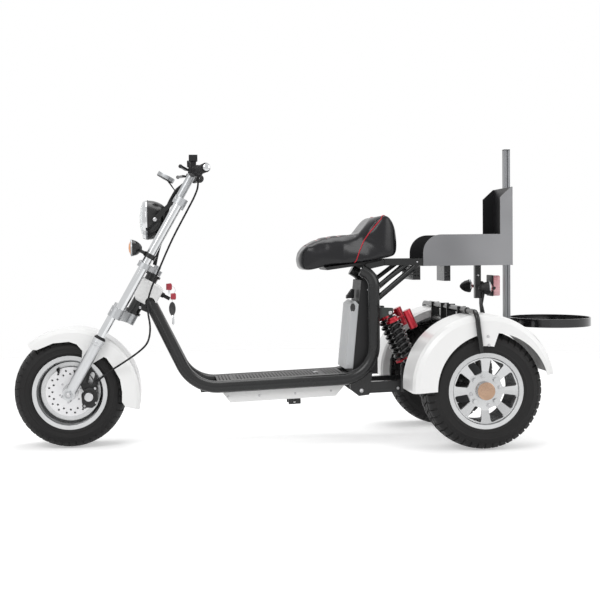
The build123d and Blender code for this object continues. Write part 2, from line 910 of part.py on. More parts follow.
def neckCover():
    low = headTubeLow + cupHeight + seatGap
    high = headTubeHigh - cupHeight - seatGap
    outline = [
        (coverFrontAcross, coverLowAlong + coverCorner),
        (coverFrontAcross, coverTopAlong),
        (coverRearAcross - coverCorner, coverTopAlong),
        (coverRearAcross, coverTopAlong - coverCorner / 2),
        (coverRearAcross, coverRearAlong),
        (stemOffset + headRadius, coverLowAlong),
        (stemOffset - headRadius / 2, coverLowAlong),
    ]
    cover = sidePlate(outline, -coverHalf, coverHalf)
    cover = chamfer(cover.faces().sort_by(Axis.Y)[0].edges() + cover.faces().sort_by(Axis.Y)[-1].edges(), coverEdge)
    cover -= bar((stemOffset, 0, low - overrun), (stemOffset, 0, high + overrun), headRadius + seatGap)
    cover = toFork * cover
    cover -= bar((neckX, -neckSide * 2, neckZ), (neckX, neckSide * 2, neckZ), neckBarRadius + seatGap)
    half = neckSide * 0.5 + seatGap
    cover -= block(neckX - railRadius * 2.2 - seatGap, neckX + neckBarRadius, -half, half,
                   neckZ - railRadius * 4, neckZ + railRadius + seatGap)
    for side in (-1, 1):
        cover -= bar((neckX, side * neckSide, neckZ), (frontCornerX, side * railSide, frontCornerZ), railRadius + seatGap)
    return cover


save("main_frame", mainFrame())


def deckFloor():
    railAt = math.sqrt(railRadius ** 2 - (floorTop - floorThickness) ** 2)
    half = railSide - railAt - seatGap * 2
    floor = block(floorFront, floorRear, -half, half, floorTop - floorThickness, floorTop)
    opening = lidHalfWidth + lidGap
    floor -= block(lidFront - lidGap, lidFront + lidLength + lidGap, -opening, opening,
                   floorTop - floorThickness - overrun, floorTop + overrun)
    ledgeTop = floorTop - floorThickness - seatGap
    ledge = block(lidFront + ledgeWidth, lidFront + lidLength + lidGap + ledgeWidth, -opening - ledgeWidth,
                  opening + ledgeWidth, ledgeTop - sheetThickness, ledgeTop)
    ledge -= block(lidFront, lidFront + lidLength - ledgeWidth, -opening + ledgeWidth, opening - ledgeWidth,
                   ledgeTop - sheetThickness - overrun, ledgeTop + overrun)
    joint = block(lidFront + lidLength + lidGap, lidFront + lidLength + lidGap + ledgeWidth, -opening - ledgeWidth,
                  opening + ledgeWidth, ledgeTop - sheetThickness, floorTop - floorThickness / 2)
    return floor + ledge + joint


def deckLid():
    middle = floorTop - floorThickness / 2
    lid = block(lidFront + floorThickness / 2, lidFront + lidLength, -lidHalfWidth, lidHalfWidth,
                floorTop - floorThickness, floorTop)
    lid += bar((lidFront + floorThickness / 2, -lidHalfWidth, middle),
               (lidFront + floorThickness / 2, lidHalfWidth, middle), floorThickness / 2)
    return lid


def bellyPan():
    half = railSide - railRadius - seatGap
    bottom = -panDepth
    outer = [
        (floorFront, 0),
        (floorFront * 1.5, bottom),
        (floorRear - floorFront * 0.4, bottom),
        (floorRear, bottom * 0.4),
        (floorRear, 0),
    ]
    pan = sidePlate(outer, -half, half)
    cavity = offset(make_face(Polyline(*outer, close=True)), -sheetThickness)
    hollow = sideFace(cavity, -half + sheetThickness, half - sheetThickness)
    top = block(floorFront + overrun * 2, floorRear - sheetThickness, -half + sheetThickness, half - sheetThickness,
                -sheetThickness * 1.5, overrun)
    return pan - hollow - top


save("deck_floor", toDeck * deckFloor())
save("deck_lid", toDeck * deckLid())
save("belly_pan", toDeck * bellyPan())
save("neck_cover", neckCover())

# Box under the saddle, its grey front panel, and the battery in the belly
boxHalfWidth = 100
boxFrontLowX = 1089
boxFrontHighX = 1114
boxLowZ = 262
boxHighZ = 628
panelHalfWidth = 96
panelDepth = 32
panelLowZ = 284
panelHighZ = 534
panelChamfer = 14
batteryLength = 320
batteryHalfWidth = 78
batteryHeight = 58


def frontOfBox(z):
    return boxFrontLowX + (boxFrontHighX - boxFrontLowX) * (z - panelLowZ) / (panelHighZ - panelLowZ)


def pillarBox():
    return sidePlate([
        (frontOfBox(boxLowZ), boxLowZ),
        (frontOfBox(boxHighZ), boxHighZ),
        (boxRearX - panelDepth, boxHighZ),
        (boxRearX, boxHighZ - panelDepth),
        (boxRearX, boxLowZ),
    ], -boxHalfWidth, boxHalfWidth)


def pillarPanel():
    shape = sidePlate([
        (frontOfBox(panelLowZ) - seatGap, panelLowZ),
        (frontOfBox(panelHighZ) - seatGap, panelHighZ),
        (frontOfBox(panelHighZ) - seatGap - panelChamfer, panelHighZ + panelChamfer),
        (frontOfBox(panelHighZ) - panelDepth, panelHighZ),
        (frontOfBox(panelLowZ) - panelDepth, panelLowZ),
    ], -panelHalfWidth, panelHalfWidth)
    return shape


def battery():
    low = -panDepth + sheetThickness + seatGap
    start = lidFront + (lidLength - batteryLength) / 2
    return block(start, start + batteryLength, -batteryHalfWidth, batteryHalfWidth, low, low + batteryHeight)


save("pillar_box", pillarBox())
save("pillar_panel", pillarPanel())
save("battery", toDeck * battery())

# Saddle and the plastic tray under it
seatNoseX = 882
seatRearX = 1268
seatLowZ = 667
seatHighZ = 882
seatHalfWidth = 148
seatNoseHalfWidth = 92
baseHalfWidth = 108
baseFrontX = 968
baseRearX = 1200
baseThickness = 11
seatShares = [
    (0.1, 0.0), (0.05, 0.01), (0.015, 0.06), (0.0, 0.19), (0.01, 0.32), (0.07, 0.44), (0.2, 0.51), (0.39, 0.565),
    (0.58, 0.58), (0.63, 0.61), (0.67, 0.7), (0.745, 0.87), (0.81, 0.965), (0.86, 1.0), (0.9, 0.975), (0.935, 0.9),
    (0.97, 0.76), (0.99, 0.6), (1.0, 0.45), (0.995, 0.33), (0.97, 0.265), (0.915, 0.232), (0.71, 0.17),
    (0.557, 0.125), (0.254, 0.06),
]


def seatShell():
    length = seatRearX - seatNoseX
    height = seatHighZ - seatLowZ
    points = [(seatNoseX + length * along, seatLowZ + height * up) for along, up in seatShares]
    body = sidePlate(points, -seatHalfWidth, seatHalfWidth)
    plan = make_face(Polyline(
        (seatNoseX, -seatNoseHalfWidth * 0.45),
        (seatNoseX + length * 0.025, -seatNoseHalfWidth * 0.8),
        (seatNoseX + length * 0.08, -seatNoseHalfWidth),
        (seatNoseX + length * 0.45, -seatNoseHalfWidth * 1.15),
        (seatNoseX + length * 0.68, -seatHalfWidth),
        (seatNoseX + length * 0.88, -seatHalfWidth),
        (seatNoseX + length * 0.96, -seatHalfWidth * 0.88),
        (seatRearX, -seatHalfWidth * 0.62),
        (seatRearX, seatHalfWidth * 0.62),
        (seatNoseX + length * 0.96, seatHalfWidth * 0.88),
        (seatNoseX + length * 0.88, seatHalfWidth),
        (seatNoseX + length * 0.68, seatHalfWidth),
        (seatNoseX + length * 0.45, seatNoseHalfWidth * 1.15),
        (seatNoseX + length * 0.08, seatNoseHalfWidth),
        (seatNoseX + length * 0.025, seatNoseHalfWidth * 0.8),
        (seatNoseX, seatNoseHalfWidth * 0.45),
        close=True,
    ))
    return body & (Pos(0, 0, seatLowZ - overrun) * extrude(plan, amount=height + overrun * 2))


def seatUnderside(x):
    """Height of the saddle's underside above this place."""
    length = seatRearX - seatNoseX
    height = seatHighZ - seatLowZ
    flat = [seatShares[-1], seatShares[-2], seatShares[-3]]
    share = (x - seatNoseX) / length
    for (a, za), (b, zb) in zip(flat, flat[1:]):
        if share <= b or b == flat[-1][0]:
            return seatLowZ + height * (za + (zb - za) * (share - a) / (b - a))


def seatBase():
    knee = seatNoseX + (seatRearX - seatNoseX) * seatShares[-2][0]
    top = [(x, seatUnderside(x) - seatGap) for x in (baseFrontX + baseThickness, knee, baseRearX)]
    low = [(x, z - baseThickness) for x, z in reversed(top)]
    low[-1] = (low[-1][0] + baseThickness, low[-1][1])
    base = sidePlate(top + low, -baseHalfWidth, baseHalfWidth)
    for side in (-1, 1):
        clear = [
            (postX, side * railSide, postTopZ),
            (railEndX, side * railSide, railEndZ),
        ]
        base -= bar(clear[0], clear[1], railRadius + seatGap)
    return base


save("seat", seatShell())
save("seat_base", seatBase())

# Rear carrier: swing arms, axle housing, uprights, cross tubes
axleHousingRadius = 30
motorRadius = 88
housingEnd = rearSide - rearHubInner - sideGap
plateSide = 51
plateThickness = 6
crossTubeX = 1490
crossTubeRadius = 12
fenderTopZ = fenderCentreZ + math.sqrt(fenderRadius ** 2 - (crossTubeX - fenderCentreX) ** 2)
crossTubeZ = fenderTopZ + crossTubeRadius + seatGap
crossTubeHalf = 305
lowerTubeZ = 457
lowerTubeRadius = 17
fenderPlateSide = fenderInnerSide - seatGap
shockSide = armSideAt
shockLowX = 1337
shockLowZ = 268
shockPlateThickness = 5
eyeRadius = 12
eyeHalf = 8


def armTop(x):
    """Height of the swing arm's upper edge above this place."""
    first = (pivotX - armHeight * 0.2, pivotZ + armHeight * 0.7)
    last = (wheelbase, rearTyreRadius + armHeight * 0.45)
    return first[1] + (last[1] - first[1]) * (x - first[0]) / (last[0] - first[0])


def rearCarrier():
    axleZ = rearTyreRadius
    shape = bar((wheelbase, -housingEnd, axleZ), (wheelbase, housingEnd, axleZ), axleHousingRadius)
    for side in (-1, 1):
        low = side * armSideAt - armWidthHalf
        arm = sidePlate([
            (pivotX - armHeight * 0.4, pivotZ),
            (pivotX - armHeight * 0.2, pivotZ + armHeight * 0.7),
            (wheelbase, axleZ + armHeight * 0.45),
            (wheelbase, axleZ - armHeight * 0.55),
            (pivotX, pivotZ - armHeight * 0.3),
        ], low, low + armWidthHalf * 2)
        shape += arm
        low = side * plateSide - plateThickness / 2
        shape += sidePlate([
            (crossTubeX - lowerTubeRadius, axleZ),
            (crossTubeX - lowerTubeRadius, crossTubeZ + crossTubeRadius * 1.2),
            (crossTubeX + lowerTubeRadius, crossTubeZ + crossTubeRadius * 1.2),
            (crossTubeX + lowerTubeRadius * 2, axleZ + axleHousingRadius),
            (wheelbase, axleZ),
        ], low, low + plateThickness)
    return shape


def motorBlock():
    half = plateSide - plateThickness / 2 - seatGap
    body = bar((wheelbase, -half, rearTyreRadius), (wheelbase, half, rearTyreRadius), motorRadius)
    return body - bar((wheelbase, -half - overrun, rearTyreRadius), (wheelbase, half + overrun, rearTyreRadius),
                      axleHousingRadius + seatGap)


def rearAxle():
    inner = housingEnd + seatGap
    shapes = []
    for side in (-1, 1):
        shaft = bar((wheelbase, side * inner, rearTyreRadius),
                    (wheelbase, side * (rearSide + faceSide - faceThickness - seatGap), rearTyreRadius),
                    rearAxleRadius)
        shapes.append(shaft)
    return Compound(children=shapes)


def crossTubes():
    shape = bar((crossTubeX, -crossTubeHalf - crossTubeRadius, crossTubeZ),
                (crossTubeX, crossTubeHalf + crossTubeRadius, crossTubeZ), crossTubeRadius)
    shape += bar((crossTubeX, -fenderPlateSide, lowerTubeZ), (crossTubeX, fenderPlateSide, lowerTubeZ),
                 lowerTubeRadius)
    for side in (-1, 1):
        low = side * (fenderPlateSide - plateThickness / 2) - plateThickness / 2
        shape += block(crossTubeX - lowerTubeRadius, crossTubeX + lowerTubeRadius, low, low + plateThickness,
                       lowerTubeZ - lowerTubeRadius, crossTubeZ + crossTubeRadius)
    for side in (-1, 1):
        low = side * plateSide - plateThickness / 2 - seatGap
        shape -= block(crossTubeX - lowerTubeRadius - overrun, crossTubeX + lowerTubeRadius * 2, low,
                       low + plateThickness + seatGap * 2, lowerTubeZ - lowerTubeRadius - overrun,
                       crossTubeZ + crossTubeRadius * 1.3)
    return shape


save("motor", motorBlock())
save("rear_carrier", rearCarrier(), rearAxle())

# Coil-over shocks with their reservoirs and mounts
coilRadius = 24
wireRadius = 5.5
coilTurns = 8
coilInset = 38
damperRadius = 15
rodRadius = 7
eyeBoltRadius = 5
collarHeight = 9
reservoirRadius = 17
reservoirLength = 76
reservoirOffset = 64
reservoirAlong = 18

shockAxis = Vector(shockLowX - shockTopX, 0, shockLowZ - shockTopZ)
shockLength = shockAxis.length
shockPlane = Plane(origin=(shockTopX, -shockSide, shockTopZ), x_dir=(-shockAxis.Z, 0, shockAxis.X), z_dir=shockAxis)
toShock = shockPlane.location


def shockBody():
    body = bar((0, 0, eyeRadius * 1.4), (0, 0, shockLength * 0.62), damperRadius)
    body += bar((0, 0, 0), (0, 0, eyeRadius * 1.5), rodRadius)
    body += bar((0, 0, shockLength * 0.5), (0, 0, shockLength), rodRadius)
    for along in (0, shockLength):
        body += bar((0, -eyeHalf, along), (0, eyeHalf, along), eyeRadius)
    for along in (0, shockLength):
        body -= bar((0, -eyeHalf - overrun, along), (0, eyeHalf + overrun, along), eyeBoltRadius + fitGap)
    return toShock * body


def shockCollars():
    """Two spring seats and the sleeve under the upper one."""
    sleeve = bar((0, 0, coilInset - collarHeight * 2), (0, 0, coilInset - collarHeight), damperRadius * 1.4)
    upper = sleeve + bar((0, 0, coilInset - collarHeight), (0, 0, coilInset), coilRadius + wireRadius)
    upper -= bar((0, 0, coilInset - collarHeight * 2 - overrun), (0, 0, coilInset + overrun), damperRadius + fitGap)
    low = shockLength - coilInset
    lower = bar((0, 0, low), (0, 0, low + collarHeight), coilRadius + wireRadius)
    lower -= bar((0, 0, low - overrun), (0, 0, low + collarHeight + overrun), rodRadius + fitGap)
    return toShock * upper, toShock * lower


def shockCoil():
    height = shockLength - coilInset * 2 - wireRadius * 2 - seatGap * 2
    path = Helix(pitch=height / coilTurns, height=height, radius=coilRadius)
    section = Plane(origin=path @ 0, z_dir=path % 0) * Circle(wireRadius)
    coil = sweep(section, path=path)
    return toShock * (Pos(0, 0, coilInset + wireRadius + seatGap) * coil)


def reservoir():
    low = reservoirAlong
    body = bar((reservoirOffset, 0, low), (reservoirOffset, 0, low + reservoirLength), reservoirRadius)
    body += bar((coilRadius + wireRadius + seatGap, 0, coilInset - collarHeight / 2),
                (reservoirOffset, 0, coilInset - collarHeight / 2), collarHeight / 2 - seatGap)
    return toShock * body


def shockMounts():
    shapes = []
    near = eyeHalf + seatGap
    far = near + shockPlateThickness
    for side in (-1, 1):
        y = side * shockSide
        for x, z, corners in (
            (shockTopX, shockTopZ, [
                (shockPlateX, shockTopZ + railRadius * 0.9),
                (shockTopX + eyeRadius, shockTopZ + railRadius * 0.8),
                (shockTopX + eyeRadius, shockTopZ - eyeRadius * 0.4),
                (shockPlateX, shockTopZ - railRadius * 0.9),
            ]),
            (shockLowX, shockLowZ, [
                (shockLowX - eyeRadius * 1.6, armTop(shockLowX - eyeRadius * 1.6)),
                (shockLowX - eyeRadius, shockLowZ + eyeRadius),
                (shockLowX + eyeRadius, shockLowZ + eyeRadius),
                (shockLowX + eyeRadius * 1.6, armTop(shockLowX + eyeRadius * 1.6)),
            ]),
        ):
            clevis = sidePlate(corners, y - far, y - near) + sidePlate(corners, y + near, y + far)
            shapes.append(clevis + bar((x, y - far, z), (x, y + far, z), eyeBoltRadius))
    return shapes


save("shocks", pair(shockBody()))
save("shock_collars", *[pair(collar) for collar in shockCollars()])
save("shock_coils", pair(shockCoil()))
save("shock_reservoirs", pair(reservoir()))
save("shock_mounts", *shockMounts())

# Carrier for the golf bag: beams, struts, channels, tray, back, pole and ring
beamSide = 118
beamHalf = 9
beamHeight = 26
beamFrontX = 1212
beamInTray = 60
plateHalf = 4
plateFrontX = 1136
# Height where each strut leaves the post, place where it meets the beam, radius
strutTable = ((590, 1296, 9), (543, 1338, 11))
# Front, rear, lowest height and half width of each channel
channelTable = ((1326, 1356, 627, 108.5), (1461, 1486, 620, 66))
channelWall = 4
postHalf = 12
bagPostX = 1612
bagPostLowZ = 548
channelHoleRadius = 3.2
trayCorner = 72
panelRise = 1.5
panelHalf = 104
panelMargin = 8
backFlange = 50
backChamfer = 40


def rackBeams():
    low = beamSide - beamHalf
    bottom = trayFloorZ + sheetThickness + seatGap
    beam = block(beamFrontX, trayFrontX + beamInTray, low, low + beamHalf * 2, bottom, bottom + beamHeight)
    plate = sidePlate([
        (plateFrontX, railEndZ),
        (beamFrontX, bottom),
        (beamFrontX, bottom + beamHeight * 0.85),
        (plateFrontX + plateHalf, bottom + beamHeight * 0.3),
    ], beamSide - plateHalf, beamSide + plateHalf)
    plate -= bar((postX, railSide, postTopZ), (railEndX, railSide, railEndZ), railRadius + seatGap)
    plate -= bar((postX, railSide, deckZ(postX)), (postX, railSide, postTopZ + railRadius), railRadius + seatGap)
    return pair(beam + max(plate.solids(), key=lambda solid: solid.volume))


def rackStruts():
    shapes = []
    bottom = trayFloorZ + sheetThickness + seatGap
    for side in (-1, 1):
        y = side * beamSide
        for startZ, endX, radius in strutTable:
            rise = (bottom - startZ) / (endX - postX)
            rod = bar((postX, y, startZ), (endX + trayHeight, y, bottom + trayHeight * rise), radius)
            rod -= bar((postX, side * railSide, deckZ(postX)), (postX, side * railSide, postTopZ + railRadius),
                       railRadius + seatGap)
            rod -= block(beamFrontX, trayRearX, y - beamHalf * 2, y + beamHalf * 2, bottom - seatGap,
                         bottom + trayHeight * 2)
            shapes.append(max(rod.solids(), key=lambda solid: solid.volume))
    return Compound(children=shapes)


def trayChannels():
    shapes = []
    top = trayFloorZ - seatGap
    for xLow, xHigh, zLow, half in channelTable:
        channel = block(xLow, xHigh, -half, half, zLow, top)
        channel -= block(xLow + channelWall, xHigh - channelWall, -half + channelWall, half - channelWall,
                         zLow + channelWall, top - channelWall)
        for acrossShare in (0.3, 0.7):
            for upShare in (0.3, 0.55):
                x = xLow + (xHigh - xLow) * acrossShare
                z = zLow + (top - zLow) * upShare
                channel -= bar((x, -half - overrun, z), (x, half + overrun, z), channelHoleRadius)
        shapes.append(channel)
    post = block(bagPostX - postHalf, bagPostX + postHalf, -postHalf, postHalf, bagPostLowZ, top)
    shapes.append(post)
    return Compound(children=shapes)


def bagTray():
    high = trayFloorZ + trayHeight
    side = make_face(
        Polyline(
            (trayFrontX, trayFloorZ), (trayRearX, trayFloorZ), (trayRearX, high), (trayFrontX, high), close=True,
        )
    )
    corner = side.vertices().sort_by(Axis.Y)[-2:].sort_by(Axis.X)[0]
    side = fillet(corner, trayCorner)
    wall = sideFace(side, -trayHalfWidth, -trayHalfWidth + sheetThickness)
    floor = block(trayFrontX, trayRearX, -trayHalfWidth, trayHalfWidth, trayFloorZ, trayFloorZ + sheetThickness)
    panel = block(trayFrontX + beamInTray + panelMargin, trayRearX - panelMargin, -panelHalf, panelHalf,
                  trayFloorZ + sheetThickness, trayFloorZ + sheetThickness + panelRise)
    return wall + mirrored(wall) + floor + panel


def bagBack():
    low = trayFloorZ + trayHeight
    inner = trayHalfWidth
    flange = sidePlate([
        (trayRearX - backFlange, low),
        (trayRearX, low),
        (trayRearX, backTopZ),
        (trayRearX - sheetThickness * 2, backTopZ),
        (trayRearX - backFlange, backTopZ - backChamfer),
    ], -inner, -inner + sheetThickness)
    panel = block(trayRearX - sheetThickness, trayRearX, -inner, inner, low, backTopZ)
    lower = block(trayRearX - sheetThickness, trayRearX, -inner + sheetThickness, inner - sheetThickness,
                  trayFloorZ + sheetThickness, low)
    return flange + mirrored(flange) + panel + lower


def bagPole():
    x = trayRearX + seatGap
    pole = block(x, x + poleSizeX, -poleSizeY / 2, poleSizeY / 2, poleLowZ, poleHighZ)
    groove = block(x + poleSizeX * 0.42, x + poleSizeX * 0.58, -poleSizeY, -poleSizeY / 2 + poleSizeY * 0.08,
                   poleLowZ - overrun, poleHighZ + overrun)
    return pole - groove - mirrored(groove)


def bagRing():
    outer = Ellipse(ringHalfX, ringHalfY)
    inner = Ellipse(ringHalfX - ringBand, ringHalfY - ringBand)
    ring = Pos(ringCentreX, 0, ringTopZ - ringHeight) * extrude(outer - inner, amount=ringHeight)
    x = trayRearX + seatGap + poleSizeX + seatGap
    lug = block(x, x + ringBand * 2, -poleSizeY / 2, poleSizeY / 2, ringTopZ - ringHeight, ringTopZ)
    hole = Pos(ringCentreX, 0, ringTopZ - ringHeight) * extrude(inner, amount=ringHeight)
    return ring + (lug - hole)


save("bag_rack", rackBeams(), rackStruts(), trayChannels())
save("bag_tray", bagTray())
save("bag_back", bagBack())
save("bag_pole", bagPole())
save("bag_ring", bagRing())

# Rear fenders with their stays
skirtSide = rearSide + rearTyreHalfWidth + fenderGap
fenderStart = 10
fenderEnd = 184
fenderCrown = 22
openX = 1556
openZ = 228
openRadius = 209
tabLowX = 1514
tabHighX = 1555
tabLowZ = 380
tabFlare = 20
tabCorner = 8
innerSkirt = 36
stayRadius = 9


def rearFender():
    outer = fenderRadius
    inner = outer - sheetThickness
    far = skirtSide + sheetThickness
    near = fenderInnerSide
    skirtLow = outer * 0.57
    points = [
        (skirtLow, far),
        (outer - fenderCrown, far),
        (outer - fenderCrown * 0.3, far - fenderCrown * 0.35),
        (outer, far - fenderCrown * 1.3),
        (outer, near + fenderCrown * 0.5),
        (outer - fenderCrown * 0.4, near),
        (outer - innerSkirt, near),
        (outer - innerSkirt, near + sheetThickness),
        (inner - fenderCrown * 0.4, near + sheetThickness),
        (inner, near + fenderCrown * 0.5 + sheetThickness * 0.5),
        (inner, far - fenderCrown * 1.3 - sheetThickness * 0.5),
        (inner - fenderCrown * 0.3, far - fenderCrown * 0.35 - sheetThickness),
        (inner - fenderCrown, far - sheetThickness),
        (skirtLow, far - sheetThickness),
    ]
    shell = turned(points, fenderCentreX, 0, fenderCentreZ, arc=fenderEnd - fenderStart, start=fenderStart)
    arch = openZ + openRadius
    tab = make_face(Polyline(
        (tabLowX, tabLowZ),
        (tabHighX, tabLowZ),
        (tabHighX + tabFlare, arch),
        (tabHighX + tabFlare, arch + openRadius),
        (tabLowX - tabFlare, arch + openRadius),
        (tabLowX - tabFlare, arch),
        close=True,
    ))
    tab = fillet(tab.vertices().sort_by(Axis.Y)[:2], tabCorner)
    opening = Pos(openX, openZ) * Circle(openRadius) - tab
    shell -= sideFace(opening, far - sheetThickness - overrun, far + overrun)
    return shell


save("rear_fenders", pair(rearFender()))


def fenderStay():
    out = skirtSide + sheetThickness + stayRadius + seatGap
    points = [
        (crossTubeX, crossTubeHalf + crossTubeRadius + seatGap, crossTubeZ),
        (crossTubeX, out, crossTubeZ),
        (crossTubeX + stayRadius * 2, out, tabLowZ - stayRadius * 1.5),
    ]
    return bent(points, [stayRadius * 3.5], stayRadius)


save("fender_frame", crossTubes(), pair(fenderStay()))

# Tail lamp, signals and their curved bracket under the tray
tailBracketHalf = 20
tailBracketThickness = 5
tailBeamHalf = 150
tailBeamRadius = 6
tailBeamZ = 592
tailBeamX = 1640
tailLampX = 1661
tailLampDepth = 34
tailLampLowZ = 556
tailLampHeight = 84
tailLampHalf = 44
rearSignalX = 1604
rearSignalRadius = 26
rearSignalLength = 52


def tailBracket():
    x = bagPostX + postHalf + seatGap
    bracket = sidePlate([
        (x, tailBeamZ + tailBeamRadius * 4),
        (x + tailBracketThickness, tailBeamZ + tailBeamRadius * 4),
        (tailBeamX + tailBeamRadius, tailBeamZ + tailBeamRadius),
        (tailLampX - seatGap, tailBeamZ + tailBeamRadius),
        (tailLampX - seatGap, tailBeamZ - tailBeamRadius),
        (tailBeamX, tailBeamZ - tailBeamRadius * 2),
        (x + tailBracketThickness, bagPostLowZ - tailBeamRadius * 4),
        (tailBeamX, bagPostLowZ - tailBeamRadius * 12),
        (tailBeamX - tailBracketThickness * 2, bagPostLowZ - tailBeamRadius * 12),
        (x, bagPostLowZ - tailBeamRadius * 4),
    ], -tailBracketHalf, tailBracketHalf)
    bracket += bar((tailBeamX, -tailBeamHalf, tailBeamZ), (tailBeamX, tailBeamHalf, tailBeamZ), tailBeamRadius)
    return bracket


def tailLamp():
    lamp = block(tailLampX, tailLampX + tailLampDepth, -tailLampHalf, tailLampHalf, tailLampLowZ,
                 tailLampLowZ + tailLampHeight)
    return fillet(lamp.edges().filter_by(Axis.X), tailLampDepth * 0.3)


def rearSignals():
    shapes = []
    for side in (-1, 1):
        y = side * tailBeamHalf
        stem = bar((tailBeamX, y, tailBeamZ), (rearSignalX, y, tailBeamZ), tailBeamRadius)
        shapes.append(stem + Pos(rearSignalX, y, tailBeamZ) * Rot(0, 180, 0) * signalBody(rearSignalRadius, rearSignalLength))
    return shapes


save("tail_bracket", tailBracket() + rearSignals())
save("tail_lamp", tailLamp())

# Ignition lock with its key, stand bracket, looms and the brake hose
lockRadius = 10
lockLength = 12
keyWidth = 14
keyThickness = 3
keyLength = 26
standBracketX = 862
standBracketLength = 48
standBracketDepth = 30
standHalf = 36
standWall = 5
standBoltRadius = 6
loomRadius = 8
hoseRadius = 4


def ignitionLock():
    across = coverRearAcross + seatGap
    along = coverTopAlong - coverCorner - lockRadius
    lock = bar((across, 0, along), (across + lockLength, 0, along), lockRadius)
    key = block(across + lockLength, across + lockLength + keyLength, -keyThickness / 2, keyThickness / 2,
                along - keyWidth / 2, along + keyWidth / 2)
    return lock + key


def standBracket():
    top = -panDepth - seatGap
    low = top - standBracketDepth
    middle = standBracketX - frontCornerX
    bracket = block(middle - standBracketLength / 2, middle + standBracketLength / 2, -standHalf, standHalf,
                    low, top)
    bracket -= block(middle - standBracketLength, middle + standBracketLength, -standHalf + standWall,
                     standHalf - standWall, low - overrun, top - standWall)
    boltAt = low + standBracketDepth * 0.4
    bore = bar((middle, -standHalf - overrun, boltAt), (middle, standHalf + overrun, boltAt), standBoltRadius)
    return bracket - bore


loomRoute = [
    (-4, 71, 905), (-17.5, 69, 876), (-19.1, 68, 856), (-19.2, 67.6, 808), (-8, 67, 772), (12, 64, 720), (24, 58, 660),
    (36, 54, 610),
    (46, 50, 580),
]
hoseRoute = [
    (26, -145, 952), (46, -142, 926), (53, -138, 880), (54, -134, 830), (55, -128, 780), (56, -120, 720),
    (60, -112, 660), (66, -106, 600), (72, -107, 545), (78, -114, 492), (90, -134, 444), (112, -162, 408),
    (140, -186, 376), (158, -196, 340), (164, -194, 306), (152, -182, 268), (134, -166, 228), (112, -146, 184),
    (92, -131, 146), (78, -126, 112), (66, -124.5, 84),
]


def routeRadii(route, least):
    points = [Vector(*point) for point in route]
    radii = []
    for before, here, after in zip(points, points[1:], points[2:]):
        turn = math.radians((here - before).get_angle(after - here))
        run = min((here - before).length, (after - here).length)
        radii.append(run * 0.45 / math.tan(turn / 2))
        if radii[-1] < least:
            print("tight bend", here, round(radii[-1], 1))
    return radii


def cable(route, radius):
    return bent(route, routeRadii(route, radius * 3), radius)


save("ignition_lock", toFork * ignitionLock())
save("stand_bracket", toDeck * standBracket())
save("looms", toFork * pair(cable(loomRoute, loomRadius)))
save("brake_hose", toFork * cable(hoseRoute, hoseRadius))
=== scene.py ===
import math

import bmesh
import bpy
from mathutils import Matrix, Vector
from mathutils.bvhtree import BVHTree


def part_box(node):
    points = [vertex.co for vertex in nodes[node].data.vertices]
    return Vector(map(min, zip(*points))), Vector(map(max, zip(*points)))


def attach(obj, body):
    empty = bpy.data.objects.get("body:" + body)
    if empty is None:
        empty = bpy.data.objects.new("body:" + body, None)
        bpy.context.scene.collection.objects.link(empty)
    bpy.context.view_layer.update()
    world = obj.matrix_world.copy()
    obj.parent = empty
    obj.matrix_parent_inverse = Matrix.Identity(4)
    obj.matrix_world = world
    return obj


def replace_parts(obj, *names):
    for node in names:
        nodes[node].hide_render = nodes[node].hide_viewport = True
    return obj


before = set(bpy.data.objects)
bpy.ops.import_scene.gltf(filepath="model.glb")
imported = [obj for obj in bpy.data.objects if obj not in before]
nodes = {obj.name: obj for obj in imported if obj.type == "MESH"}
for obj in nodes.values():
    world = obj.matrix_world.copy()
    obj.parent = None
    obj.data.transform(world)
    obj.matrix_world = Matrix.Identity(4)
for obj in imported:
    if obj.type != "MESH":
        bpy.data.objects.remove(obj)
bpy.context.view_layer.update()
collection = bpy.context.scene.collection

originX = 0.92715  # from the front axle back to the origin
rake = math.radians(29.6)


def at(x, y, z):
    # millimetres from the front axle's foot to metres in the frame
    return Vector((x / 1000 - originX, y / 1000, z / 1000))


def onFork(across, side, along):
    # millimetres on the fork's own raked frame to metres in the frame
    x = along * math.sin(rake) + across * math.cos(rake)
    z = along * math.cos(rake) - across * math.sin(rake)
    return at(x, side, 215 + z)


# ---- shared shader groups


def feed(tree, node, inputs):
    # sets each input, or links it where the value is another node's output
    for key, value in inputs.items():
        if isinstance(value, bpy.types.NodeSocket):
            tree.links.new(value, node.inputs[key])
        else:
            node.inputs[key].default_value = value


def addNode(tree, kind, settings=None, inputs=None):
    node = tree.nodes.new(kind)
    for key, value in (settings or {}).items():
        setattr(node, key, value)
    feed(tree, node, inputs or {})
    return node


def mathNode(tree, operation, *values, clamp=False):
    node = addNode(tree, "ShaderNodeMath", {"operation": operation, "use_clamp": clamp}, dict(enumerate(values)))
    return node.outputs[0]


def newGroup(name, inputs, outputs):
    # inputs are names with their values, outputs are names with their kinds of socket
    group = bpy.data.node_groups.new(name, "ShaderNodeTree")
    for label, value in inputs.items():
        kind = "NodeSocketVector" if isinstance(value, tuple) else "NodeSocketFloat"
        group.interface.new_socket(label, in_out="INPUT", socket_type=kind).default_value = value
    for label, kind in outputs.items():
        group.interface.new_socket(label, in_out="OUTPUT", socket_type="NodeSocket" + kind)
    return group, group.nodes.new("NodeGroupInput").outputs, group.nodes.new("NodeGroupOutput")


